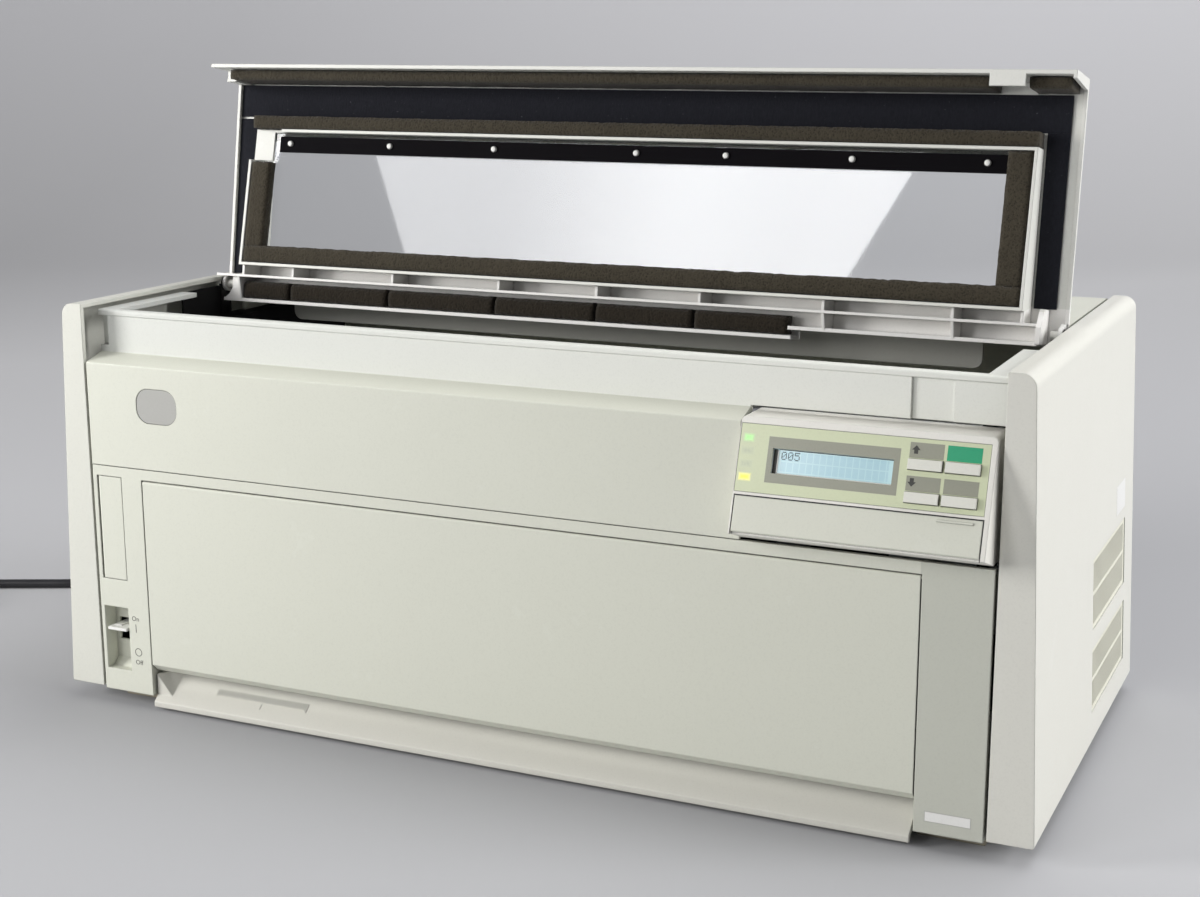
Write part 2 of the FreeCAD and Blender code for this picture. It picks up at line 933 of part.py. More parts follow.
def make_front_door():
    inner_y = front_y + door_skin
    lip_z = door_bottom - lip_drop
    profile = [
        (front_y, door_top, door_skin / 2),
        (front_y, door_bottom),
        (front_y + lip_drop, lip_z),
        (front_y + lip_back, lip_z),
        (front_y + lip_back, lip_z + lip_skin),
        (front_y + lip_drop + lip_skin / 2, lip_z + lip_skin),
        (inner_y, door_bottom + lip_skin / 2),
        (inner_y, door_top, door_skin / 2 - hinge_clearance),
    ]
    pieces = [along_x(profile, -door_half, door_half)]
    for x0 in (-door_half, door_half - door_rib_width):
        pieces.append(box(x0, x0 + door_rib_width, front_y + door_skin / 2, inner_y + door_return,
                          door_bottom, door_top - door_return))
    for share in door_rib_shares:
        x = door_half * share
        pieces.append(box(x - door_rib_width / 2, x + door_rib_width / 2, inner_y - door_skin / 2,
                          inner_y + door_rib_height, door_bottom + door_return, door_top - door_return))
    for side in (-1, 1):
        near = side * (door_half - door_skin)
        far = side * (door_half + door_pin_length)
        pieces.append(rod_x(door_pin_r, min(near, far), max(near, far), door_axis_y, door_axis_z))
    keep("front_door", fuse(pieces))


def make_access_door():
    plate = box(knuckle_x, access_right, front_y, front_y + access_skin, access_bottom, access_top)
    knuckle = rod_z_up(access_knuckle_r, knuckle_x, knuckle_y, access_bottom, access_top)
    pin = rod_z_up(access_pin_r, knuckle_x, knuckle_y, access_bottom - access_pin_length,
                   access_top + access_pin_length)
    keep("access_door", fuse([plate, knuckle, pin]))


def make_power_switch():
    middle = (slot_left + slot_right) / 2
    back = front_y + pocket_depth + pocket_wall
    half = switch_body_width / 2
    low = lever_z - switch_body_height / 2
    body = box(middle - half, middle + half, back, back + switch_body_depth + lever_hub_r,
               low, low + switch_body_height)
    hollow = box(middle - half + pocket_wall, middle + half - pocket_wall, back - overrun,
                 back + switch_body_depth + lever_hub_r - pocket_wall, low + pocket_wall,
                 low + switch_body_height - pocket_wall)
    axle = rod_x(lever_pin_r, middle - half, middle + half, lever_axis_y, lever_z)
    keep("power_switch_body", fuse([body.cut(hollow), axle]))
    neck_half = lever_neck_width / 2
    paddle_y = front_y - lever_tip_out
    thick = paddle_thickness / 2
    paddle = box(paddle_left, paddle_right, paddle_y, paddle_y + paddle_depth, lever_z - thick, lever_z + thick)
    neck = box(middle - neck_half, middle + neck_half, paddle_y + paddle_depth / 2, lever_axis_y,
               lever_z - lever_neck_height / 2, lever_z + lever_neck_height / 2)
    hub = rod_x(lever_hub_r, middle - neck_half, middle + neck_half, lever_axis_y, lever_z)
    bore = rod_x(lever_pin_r + hinge_clearance, middle - half, middle + half, lever_axis_y, lever_z)
    keep("power_lever", fuse([paddle, neck, hub]).cut(bore))


# Paper ramp, a slope that leads the sheet in under the door

def make_paper_ramp():
    rise = ramp_slope_rise / ramp_slope_run
    back_y = tray_front
    ramp_run = back_y - ramp_front
    back_z = ramp_front_z + ramp_run * rise
    bead_z = ramp_front_z - ramp_bead_drop
    profile = [
        (ramp_front, ramp_front_z, ramp_bead_r / 2),
        (ramp_front, bead_z - ramp_bead_r, ramp_bead_r / 2),
        (ramp_front + ramp_skin, bead_z - ramp_bead_r, ramp_bead_r / 2),
        (ramp_front + ramp_skin + ramp_bead_r, bead_z + ramp_bead_r / 2),
        (back_y - ramp_skin, back_z - ramp_skin - ramp_bead_r / 2),
        (back_y - ramp_skin, tray_bottom + ramp_foot),
        (back_y, tray_bottom + ramp_foot),
        (back_y, back_z),
    ]
    pieces = [along_x(profile, -ramp_half, ramp_half)]
    slope = V(0, ramp_run, ramp_run * rise)
    cheek = [(-ramp_half, ramp_front_z), (ramp_left_flat, ramp_front_z), (-ramp_half, ramp_front_z + cheek_height)]
    wedge = prism(cheek, lambda x, z: V(x, ramp_front, z), slope)
    wedge = wedge.cut(box(-ramp_half - overrun, ramp_half, ramp_front - overrun, front_y + door_skin,
                          fascia_bottom - overrun * 2, door_bottom + ramp_run))
    wedge = wedge.cut(box(-ramp_half - overrun, ramp_half, front_y - overrun, back_y, door_bottom - lip_drop
                          - overrun / 2, door_top))
    pieces.append(wedge)
    keep("paper_ramp", fuse(pieces))


# Upper fascia: badge panel, ledge, recessed band and rim

def make_front_upper_fascia():
    inner = band_y + band_skin
    rise = (band_bottom - ledge_front_z) / (band_y - front_y)
    under = ledge_front_z - fascia_skin
    profile = [
        (front_y, seam_z),
        (front_y, ledge_front_z, ledge_round),
        (band_y, band_bottom, band_foot_round),
        (band_y, rim_z - rim_face),
        (band_y - rim_proud, rim_z - rim_face + rim_proud / 2),
        (band_y - rim_proud, rim_z, rim_round),
        (band_y + rim_width, rim_z),
        (band_y + rim_width, rim_z - rim_lip),
        (inner, rim_z - rim_lip),
        (inner, under + rise * (inner - front_y - fascia_skin)),
        (front_y + fascia_skin, under),
        (front_y + fascia_skin, seam_z),
    ]
    pieces = [along_x(profile, -fascia_half, fascia_half)]
    for side in (-1, 1):
        edge = side * fascia_half
        ledge = edge - side * side_ledge_width
        pieces.append(box(min(edge, ledge), max(edge, ledge), band_y + rim_width / 2, side_ledge_rear,
                          rim_z - side_ledge_skin, rim_z))
        backing = edge - side * (band_groove_width + band_backing)
        pieces.append(box(min(edge, backing), max(edge, backing), band_y + band_skin / 2,
                          band_y + band_groove_depth + band_backing / 2, band_groove_bottom - band_skin, rim_z))
    pieces.append(box(latch_pocket_left - band_skin, fascia_half, band_y + band_skin / 2, inner + latch_pocket_depth,
                      notch_top, rim_z - rim_round))
    recess = along_y(rounded(badge_left, badge_right, badge_bottom, badge_top, badge_round),
                     front_y - overrun, front_y + badge_recess)
    cuts = [
        box(notch_left, fascia_half + overrun, front_y - overrun, band_y + rim_width + overrun * 2,
            seam_z - overrun, notch_top),
        box(-fascia_half - overrun, -fascia_half + band_groove_width, front_y, band_y + band_groove_depth,
            band_groove_bottom, band_groove_top),
        box(latch_pocket_left, latch_pocket_right, front_y, band_y + latch_pocket_depth, notch_top - overrun,
            rim_z - rim_face),
        box(latch_pocket_right, fascia_half + overrun, front_y, band_y + latch_step_depth, notch_top - overrun,
            rim_z - rim_face),
        recess,
    ]
    keep("front_upper_fascia", cut(fuse(pieces), cuts))
    plate = along_y(rounded(badge_left + fit_gap, badge_right - fit_gap, badge_bottom + fit_gap,
                            badge_top - fit_gap, badge_round - fit_gap),
                    front_y + badge_recess - badge_thickness, front_y + badge_recess)
    keep("badge_plate", plate)


# Operator panel: u runs right from its left edge, v down its face, n out of its face

def on_panel(shape):
    shape.Placement = FreeCAD.Placement(V(panel_left, front_y, panel_face_top),
                                        FreeCAD.Rotation(V(1, 0, 0), 90 - panel_lean))
    return shape


def panel_box(u0, u1, v0, v1, n0, n1):
    return on_panel(Part.makeBox(u1 - u0, v1 - v0, n1 - n0, V(u0, -v1, n0)).copy())


def panel_rod_u(radius, u0, u1, v, n):
    lean = math.radians(panel_lean)
    at = V(panel_left + u0, front_y - v * math.sin(lean) - n * math.cos(lean),
           panel_face_top - v * math.cos(lean) + n * math.sin(lean))
    return Part.makeCylinder(radius, u1 - u0, at, V(1, 0, 0))


def panel_rod_n(radius, u, v, n0, n1):
    lean = math.radians(panel_lean)
    out = V(0, -math.cos(lean), math.sin(lean))
    at = V(panel_left + u, front_y - v * math.sin(lean), panel_face_top - v * math.cos(lean)) + out * n0
    return Part.makeCylinder(radius, n1 - n0, at, out)


def make_operator_panel():
    lean = math.radians(panel_lean)
    low_y = front_y - panel_face_length * math.sin(lean)
    low_z = panel_face_top - panel_face_length * math.cos(lean)
    panel_right = panel_left + panel_width
    wedge = along_x([
        (front_y, panel_face_top),
        (low_y, low_z),
        (front_y, panel_foot_z),
        (panel_back, panel_foot_z),
        (panel_back, panel_face_top),
    ], panel_left, panel_right)
    wedge = wedge.common(along_y([
        (panel_left, panel_foot_z - overrun),
        (panel_right, panel_foot_z - overrun),
        (panel_right, panel_face_top, panel_corner),
        (panel_left, panel_face_top, panel_corner),
    ], low_y - overrun, panel_back + overrun))
    deep = panel_face_length
    cuts = [
        panel_box(panel_skin, panel_width - panel_skin, panel_skin, overlay_bottom + fit_gap, -deep, -panel_skin),
        panel_box(panel_skin, panel_width - panel_skin, overlay_bottom, overlay_bottom + bay_depth, -deep,
                  -bay_depth - panel_skin),
        panel_box(overlay_left, overlay_right, overlay_top, overlay_bottom, -overlay_thickness, overrun),
        panel_box(lcd_window_left, lcd_window_right, lcd_window_top, lcd_window_bottom, -panel_skin * 2, overrun),
        panel_box(flap_left, flap_right, flap_top, panel_face_length + overrun, -flap_thickness - fit_gap, overrun),
        panel_box(bay_left, bay_right, bay_top, bay_bottom, -bay_depth, overrun),
        panel_rod_u(flap_pin_r + hinge_clearance, flap_left - flap_pin_length - fit_gap,
                    flap_right + flap_pin_length + fit_gap, flap_axis_v, flap_axis_n),
    ]
    overlay_cuts = [
        panel_box(lcd_window_left, lcd_window_right, lcd_window_top, lcd_window_bottom, -overrun, overrun),
    ]
    for column in key_columns:
        for row in key_rows:
            hole = panel_box(column - key_hole_gap, column + key_width + key_hole_gap,
                             row - key_hole_gap, row + key_height + key_hole_gap, -panel_skin * 2, overrun)
            cuts.append(hole)
            overlay_cuts.append(hole)
    for row in led_rows:
        hole = panel_box(led_column - overlay_clearance, led_column + led_width + overlay_clearance,
                         row - overlay_clearance, row + led_height + overlay_clearance, -board_depth, overrun)
        cuts.append(hole)
        overlay_cuts.append(hole)
    keep("operator_housing", cut(wedge, cuts))
    overlay = panel_box(overlay_left + overlay_clearance, overlay_right - overlay_clearance,
                        overlay_top + overlay_clearance, overlay_bottom - overlay_clearance, -overlay_thickness, 0)
    keep("panel_overlay", cut(overlay, overlay_cuts))
    keep("lcd_screen", panel_box(lcd_window_left - lcd_margin, lcd_window_right + lcd_margin,
                                 lcd_window_top - lcd_margin, lcd_window_bottom + lcd_margin,
                                 -panel_skin - fit_gap - lcd_thickness, -panel_skin - fit_gap))
    keep("status_leds", group([
        panel_box(led_column, led_column + led_width, row, row + led_height, -board_depth, -overlay_clearance / 2)
        for row in led_rows]))


flap_axis_v = flap_bottom - flap_thickness / 2 - fit_gap
flap_axis_n = -flap_thickness / 2


def make_keys():
    names = (("key_upper_left", 0, 0), ("key_upper_right", 1, 0), ("key_lower_left", 0, 1), ("key_lower_right", 1, 1))
    flange_top = -panel_skin - fit_gap
    for name, column, row in names:
        u0, v0 = key_columns[column], key_rows[row]
        cap = panel_box(u0, u0 + key_width, v0, v0 + key_height, flange_top, key_stand)
        flange = panel_box(u0 - key_flange, u0 + key_width + key_flange, v0 - key_flange,
                           v0 + key_height + key_flange, flange_top - key_flange_thickness, flange_top)
        keep(name, fuse([cap, flange]))


def make_panel_board():
    margin = panel_skin + overlay_left + board_post_r
    top = -board_depth
    plate = panel_box(panel_skin + overlay_left, overlay_right - overlay_left, overlay_top + board_post_r,
                      overlay_bottom - board_post_r, top - board_thickness, top)
    pieces = [plate]
    for u in (margin + led_width * 2, overlay_right - board_post_r / 2 - overlay_left):
        for v in (overlay_top + board_post_r * 2, overlay_bottom - board_post_r * 2):
            pieces.append(panel_rod_n(board_post_r / 2, u, v, top - board_thickness / 2, -panel_skin))
    press = panel_skin + fit_gap + key_flange_thickness + key_travel + fit_gap
    for column in key_columns:
        for row in key_rows:
            u = column + key_width / 2
            v = row + key_height / 2
            half = switch_side / 2
            pieces.append(panel_box(u - half, u + half, v - half, v + half, top - board_thickness / 2, -press))
    keep("panel_board", fuse(pieces))


def make_panel_flap():
    skin = flap_thickness / 2
    plate = panel_box(flap_left + flap_gap, flap_right - flap_gap, flap_top + flap_gap, flap_axis_v,
                      -flap_thickness, 0)
    edge = panel_rod_u(skin, flap_left + flap_gap, flap_right - flap_gap, flap_axis_v, flap_axis_n)
    pin = panel_rod_u(flap_pin_r, flap_left - flap_pin_length, flap_right + flap_pin_length,
                      flap_axis_v, flap_axis_n)
    ridge = panel_box(flap_ridge_left, flap_ridge_right, flap_ridge_top, flap_ridge_top + flap_ridge_width,
                      -skin, flap_ridge_height)
    keep("panel_flap", fuse([plate, edge, pin, ridge]))


# Top cover, drawn closed from its hinge axis and then raised

def cover_y(s):
    return hinge_y - s


def cover_z(h):
    return hinge_z + h


def raised(shape):
    shape = shape.copy()
    shape.rotate(V(0, hinge_y, hinge_z), V(1, 0, 0), -cover_angle)
    return shape


def cover_box(x0, x1, s0, s1, h0, h1):
    return box(x0, x1, cover_y(s1), cover_y(s0), cover_z(h0), cover_z(h1))


def cover_prism(corners, x0, x1):
    """outline in (s, h) swept from x0 to x1"""
    return along_x([(cover_y(c[0]), cover_z(c[1])) + tuple(c[2:]) for c in corners], x0, x1)


cover_inner = cover_rise - cover_skin


def frame_edge(s, less=0):
    """height of the window frame's free edge at s, less a step towards the plate"""
    share = (s - frame_near) / (frame_far - frame_near)
    return cover_inner - frame_depth_near + (frame_depth_near - frame_depth_far) * share + less


def cover_frame():
    """the raised rim round the window, with the ledge that the pane lies on"""
    root = cover_inner + cover_skin / 2
    low = frame_foam + pane_thickness
    pieces = []
    for side in (-1, 1):
        outer = side * frame_half
        inner = side * window_half
        wall = outer - side * frame_wall
        for edge, deep in ((wall, 0), (inner, low)):
            pieces.append(cover_prism([
                (frame_near, root),
                (frame_far, root),
                (frame_far, frame_edge(frame_far, deep)),
                (frame_near, frame_edge(frame_near, deep)),
            ], min(outer, edge), max(outer, edge)))
    for near, far, deep in (
            (frame_near, frame_near + frame_wall, 0),
            (frame_far - frame_wall, frame_far, 0),
            (frame_near, window_near, low),
            (window_far, frame_far, low)):
        pieces.append(cover_prism([
            (near, root),
            (far, root),
            (far, frame_edge(far, deep)),
            (near, frame_edge(near, deep)),
        ], -frame_half, frame_half))
    return pieces


def corner_cut():
    """the rim stands lower at the upper left corner, down to the white bracket on the pane"""
    level = frame_foam - retainer_thickness
    far = frame_far + overrun
    return cover_prism([
        (corner_cut_near, -frame_depth_near - overrun),
        (far, -frame_depth_near - overrun),
        (far, frame_edge(far, level)),
        (corner_cut_near, frame_edge(corner_cut_near, level)),
    ], -frame_half - overrun, -frame_half + corner_cut_width)


def corner_bracket():
    level = frame_foam - retainer_thickness
    far = frame_far - frame_wall / 2
    return cover_prism([
        (corner_cut_near, frame_edge(corner_cut_near, frame_foam)),
        (far, frame_edge(far, frame_foam)),
        (far, frame_edge(far, level)),
        (corner_cut_near, frame_edge(corner_cut_near, level)),
    ], -frame_half, bracket_right)


def cover_ribs():
    root = cover_inner + cover_skin / 2
    rib_low = cover_inner - rib_depth
    side = cheek_inner + rib_overlap
    pieces = [cover_box(-cover_half + side_lip_skin / 2, side, rib_line, rib_line + rib_skin, rib_low, root)]
    edge = frame_half - rib_skin / 2
    for x in [-edge] + [frame_half * share for share in rib_shares] + [edge]:
        pieces.append(cover_box(x - rib_skin / 2, x + rib_skin / 2, rib_line, frame_near + frame_wall / 2,
                                rib_low, root))
    tail_low = cover_rise - tail_depth
    gussets = [(frame_half * share, tail_step_reach) for share in gusset_shares]
    gussets.append((tail_foam_left - rib_skin / 2, tail_reach))
    for x, reach in gussets:
        pieces.append(cover_prism([
            (tail_skin / 2 - reach, root),
            (rib_line + rib_skin / 2, root),
            (rib_line + rib_skin / 2, rib_low),
            (tail_skin / 2 - reach, tail_low),
        ], x - rib_skin / 2, x + rib_skin / 2))
    return pieces


def hinge_cheeks():
    """an eye each side for the machine's hinge pin, the left cheek plate and the right stop arm"""
    root = cover_inner + cover_skin / 2
    tail = -tail_step_reach + tail_skin / 2
    arm = [
        (tail, root),
        (arm_reach, root),
        (arm_reach, -arm_drop),
        (cheek_base, -arm_tip, hinge_pin_r / 2),
        (-cheek_tail, -arm_tip, hinge_pin_r / 2),
    ]
    far = cheek_inner + cheek_skin
    first = tail_skin / 2 - tail_reach
    plate_low = cover_z(cover_rise - tail_depth)
    plate = prism([(tail_left + cheek_plate_width * across, first + cheek_plate_length * along)
                   for across, along in cheek_plate_shares],
                  lambda x, s: V(x, cover_y(s), plate_low), V(0, 0, cheek_plate_skin))
    eye = fuse([
        rod_x(eye_r, eye_inner, eye_outer, hinge_y, hinge_z),
        cover_prism([
            (-eye_r, 0),
            (-eye_r, cover_inner),
            (0, root),
            (eye_arm_run, root),
            (eye_arm_run, eye_arm_rise),
            (eye_r - hinge_clearance, 0),
        ], eye_inner, eye_outer),
    ])
    eye = eye.cut(rod_x(hinge_pin_r + hinge_clearance, eye_inner - overrun, eye_outer + overrun, hinge_y, hinge_z))
    return [plate, cover_prism(arm, cheek_inner, far), eye, mirrored(eye)]


def cover_corner():
    """the stepped front left corner: what is cut away, and the walls that close it"""
    inner = -cover_half + notch_width
    near = cover_reach - notch_reach
    low = cover_rise - notch_depth
    away = cover_box(-cover_half - overrun, inner, near, cover_reach + overrun, low, cover_rise + overrun)
    below = cover_box(-cover_half - overrun, inner, near, cover_reach + overrun, low - overrun * 4, low)
    walls = [
        cover_box(-cover_half, inner + skirt_skin, near - skirt_skin, near, low, cover_rise),
        cover_box(inner, inner + skirt_skin, near - skirt_skin, cover_reach, low, cover_rise),
        cover_box(-cover_half + side_lip_skin, inner + skirt_skin, near - skirt_skin, cover_reach, low - skirt_skin,
                  low),
    ]
    return away, walls


def make_cover_shell():
    top = cover_rise
    low = cover_rise - skirt_depth
    tail_low = cover_rise - tail_depth
    panel = [
        (0, top),
        (cover_reach, top, skirt_skin),
        (cover_reach, low),
        (cover_reach - skirt_skin, low),
        (cover_reach - skirt_skin, cover_inner),
        (0, cover_inner),
    ]
    pieces = [cover_prism(panel, -cover_half, cover_half)]
    for reach, x0, x1 in ((tail_reach, tail_left, tail_step), (tail_step_reach, tail_step - tail_skin, cheek_inner)):
        pieces.append(cover_prism([
            (-reach, top, tail_skin / 2),
            (tail_skin, top),
            (tail_skin, cover_inner),
            (-reach + tail_skin, cover_inner),
            (-reach + tail_skin, tail_low),
            (-reach, tail_low),
        ], x0, x1))
    pieces.append(cover_box(cheek_inner - tail_skin, cover_half, -tail_step_reach, tail_skin, cover_inner, top))
    root = cover_inner + cover_skin / 2
    lip_low = cover_rise - side_lip_depth
    far = cover_reach - skirt_skin / 2
    pieces.append(cover_box(-cover_half, -cover_half + side_lip_skin, hinge_free, far, lip_low, root))
    pieces.append(cover_prism([
        (hinge_free, root),
        (far, root),
        (far, low),
        (cover_reach - skirt_skin * 2, low),
        (skirt_end_near, cover_rise - right_lip_depth),
        (hinge_free, cover_rise - right_lip_depth),
    ], cover_half - side_lip_skin, cover_half))
    pieces += cover_frame() + cover_ribs() + hinge_cheeks()
    pieces.append(cover_box(latch_left, latch_right, cover_reach - skirt_skin - latch_depth,
                            cover_reach - skirt_skin / 2, low, low + skirt_skin))
    away, walls = cover_corner()
    cuts = [
        cover_box(-window_half, window_half, window_near, window_far, -frame_depth_near - overrun,
                  cover_rise + overrun),
        corner_cut(),
        away,
    ]
    shell = cut(fuse(pieces), cuts)
    keep("cover_shell", raised(fuse([shell, corner_bracket()] + walls)))


def make_cover_window():
    near = frame_near + frame_wall + fit_gap
    far = frame_far - frame_wall - fit_gap
    half = frame_half - frame_wall - fit_gap
    pane = cover_prism([
        (near, frame_edge(near, frame_foam + pane_thickness)),
        (far, frame_edge(far, frame_foam + pane_thickness)),
        (far, frame_edge(far, frame_foam)),
        (near, frame_edge(near, frame_foam)),
    ], -half, half)
    keep("cover_window", raised(pane))
    strip = cover_prism([
        (retainer_near, frame_edge(retainer_near, frame_foam)),
        (retainer_far, frame_edge(retainer_far, frame_foam)),
        (retainer_far, frame_edge(retainer_far, frame_foam - retainer_thickness)),
        (retainer_near, frame_edge(retainer_near, frame_foam - retainer_thickness)),
    ], retainer_left, retainer_right)
    pieces = [strip]
    face = cover_z(frame_edge(stud_s, frame_foam - retainer_thickness))
    for share in stud_shares:
        x = window_half * share
        pieces.append(rod_z_up(stud_r, x, cover_y(stud_s), face - stud_height, face + retainer_thickness / 2))
    keep("window_retainer", raised(fuse(pieces)))


def frame_strip(x0, x1, s0, s1, top=0):
    """a foam strip on the pane, flush with the window frame's free edge"""
    return cover_prism([
        (s0, frame_edge(s0, frame_foam - fit_gap)),
        (s1, frame_edge(s1, frame_foam - fit_gap)),
        (s1, frame_edge(s1, top)),
        (s0, frame_edge(s0, top)),
    ], x0, x1)


def make_cover_soft_parts():
    inner = cover_inner - fit_gap
    near = frame_near + frame_wall + fit_gap
    right_far = frame_far - frame_wall - fit_gap
    band = near + foam_low_strip
    outer = foam_half
    top_near = frame_far + fit_gap
    top_far = top_near + top_foam_strip
    keep("window_foam", raised(group([
        frame_strip(-outer, outer, near, band),
        frame_strip(-outer, -outer + foam_strip, band + fit_gap, foam_left_far),
        frame_strip(outer - foam_strip, outer, band + fit_gap, right_far),
        cover_prism([
            (top_near, inner),
            (top_far, inner),
            (top_far, frame_edge(frame_far)),
            (top_near, frame_edge(frame_far)),
        ], -frame_half, frame_half),
    ])))
    side = frame_half + felt_thickness
    felt_low = inner - felt_thickness
    right_near = arm_reach + fit_gap
    keep("cover_felt", raised(group([
        cover_box(felt_left, felt_right, felt_seam + felt_seam_gap, felt_far, felt_low, inner),
        cover_box(felt_left, -side, hinge_free + fit_gap, felt_seam, felt_low, inner),
        cover_box(side, felt_right, right_near, felt_seam + felt_seam_gap - fit_gap, felt_low, inner),
    ])))
    skirt_face = cover_reach - skirt_skin - fit_gap
    skirt_back = skirt_face - skirt_foam_thickness
    foam_low = cover_rise - skirt_foam_low
    foam_left = -skirt_foam_half
    keep("skirt_foam", raised(group([
        cover_box(foam_left, latch_left - fit_gap, skirt_back, skirt_face, foam_low, inner),
        cover_box(latch_right + fit_gap, cover_half - side_lip_skin * 2, skirt_back, skirt_face, foam_low, inner),
    ])))
    blocks = []
    base = -tail_reach + tail_skin + fit_gap
    deep = cover_rise - tail_depth
    span = tail_foam_right - tail_foam_left
    splits = [tail_foam_left + span * share for share in tail_foam_shares]
    for i in range(len(splits) - 1):
        blocks.append(cover_prism([
            (base, deep),
            (tail_foam_reach - tail_foam_bevel, deep),
            (tail_foam_reach, deep + tail_foam_bevel),
            (tail_foam_reach, tail_foam_top),
            (base, tail_foam_top),
        ], splits[i] + tail_foam_gap, splits[i + 1] - tail_foam_gap))
    keep("tail_foam", raised(group(blocks)))


# Posts with the two pins that the cover's eyes turn on

def make_hinge_pins():
    post = fuse([
        rod_x(post_r, post_inner, post_outer, hinge_y, hinge_z),
        box(post_inner, post_outer, hinge_y - post_front, hinge_y + post_rear, frame_plate_top, hinge_z),
        rod_x(hinge_pin_r, post_inner - hinge_pin_length, post_outer, hinge_y, hinge_z),
    ])
    keep("cover_hinge_pins", group([post, mirrored(post)]))


# Rear half of the casing

def make_rear_cover():
    outer = [
        (rear_cover_front, rear_cover_top, rear_cover_skin / 2),
        (rear_y, rear_cover_top, rear_cover_round),
        (rear_y, rear_split_z),
        (rear_y - rear_cover_skin, rear_split_z),
        (rear_y - rear_cover_skin, rear_cover_top - rear_cover_skin, rear_cover_round - rear_cover_skin),
        (rear_cover_front + rear_cover_skin, rear_cover_top - rear_cover_skin),
        (rear_cover_front + rear_cover_skin, rear_cover_top - rear_cover_skin * 3),
        (rear_cover_front, rear_cover_top - rear_cover_skin * 3),
    ]
    pieces = [along_x(outer, -rear_cover_half, rear_cover_half)]
    for side in (-1, 1):
        edge = side * rear_cover_half
        wall = edge - side * rear_cover_skin
        pieces.append(along_x([
            (rear_cover_front, rear_cover_top - rear_cover_skin / 2),
            (rear_y - rear_cover_round / 2, rear_cover_top - rear_cover_round / 2),
            (rear_y - rear_cover_skin / 2, rear_cover_top - rear_cover_round),
            (rear_y - rear_cover_skin / 2, rear_split_z),
            (rear_cover_front, frame_plate_top + fit_gap),
        ], min(edge, wall), max(edge, wall)))
    keep("rear_cover", fuse(pieces))
    fold = deflector_y + deflector_skin
    deflector = along_x([
        (deflector_y, deflector_bottom),
        (fold, deflector_bottom),
        (fold, rear_cover_top - rear_cover_skin - fit_gap - deflector_skin),
        (fold + deflector_fold, rear_cover_top - rear_cover_skin - fit_gap - deflector_skin),
        (fold + deflector_fold, rear_cover_top - rear_cover_skin - fit_gap),
        (deflector_y, rear_cover_top - rear_cover_skin - fit_gap),
    ], deflector_left, deflector_right)
    top = rear_cover_top - rear_cover_skin - fit_gap
    blank = along_y([
        (deflector_left, deflector_bottom, deflector_round),
        (deflector_right, deflector_bottom, deflector_round),
        (deflector_right, top),
        (deflector_left, top),
    ], deflector_y, fold + deflector_fold)
    keep("paper_deflector", deflector.common(blank))


def make_rear_guide():
    low = guide_z - guide_drop
    plate = along_x([
        (guide_front, guide_z - guide_skin),
        (guide_front, guide_z),
        (rear_y, guide_z),
        (reach_y, low, guide_skin / 3),
        (reach_y, low - guide_skin, guide_skin / 3),
        (rear_y, guide_z - guide_skin),
    ], -guide_half, guide_half)
    pieces = [plate]
    for side in (-1, 1):
        edge = side * guide_half
        wall = edge - side * guide_skin
        pieces.append(along_x([
            (guide_front, guide_z - guide_skin),
            (guide_front, guide_z + guide_side),
            (rear_y, guide_z + guide_side, guide_side),
            (reach_y - guide_side, low + guide_skin),
            (reach_y - guide_side, low),
            (rear_y, guide_z - guide_skin),
        ], min(edge, wall), max(edge, wall)))
        pad = side * (frame_plate_half - fit_gap)
        pieces.append(box(min(pad, edge), max(pad, edge), guide_front, guide_front + guide_side,
                          guide_z - guide_skin, guide_z))
    keep("rear_paper_guide", fuse(pieces))


# Base tray, feet and side frames

def make_base():
    top = tray_bottom + tray_skin
    pieces = [
        box(-tray_half, tray_half, tray_front, rear_inner_y, tray_bottom, top),
        box(-tray_half, tray_half, rear_inner_y - tray_skin, rear_inner_y, tray_bottom, tray_wall_top),
    ]
    for side in (-1, 1):
        inner = side * foot_inner
        outer = side * (foot_outer + fit_gap)
        pieces.append(box(min(inner, outer), max(inner, outer), foot_front, tray_front, tray_bottom,
                          fascia_bottom))
    inlet = box(inlet_x - inlet_width / 2 - fit_gap, inlet_x + inlet_width / 2 + fit_gap, rear_inner_y
                - tray_skin - overrun, rear_inner_y + overrun, inlet_z - inlet_height / 2 - fit_gap,
                inlet_z + inlet_height / 2 + fit_gap)
    keep("base_tray", fuse(pieces).cut(inlet))
    feet = []
    for front in (foot_front, rear_foot_front):
        foot = box(foot_inner, foot_outer, front, front + foot_depth, 0, tray_bottom)
        feet += [foot, mirrored(foot)]
    keep("feet", group(feet))


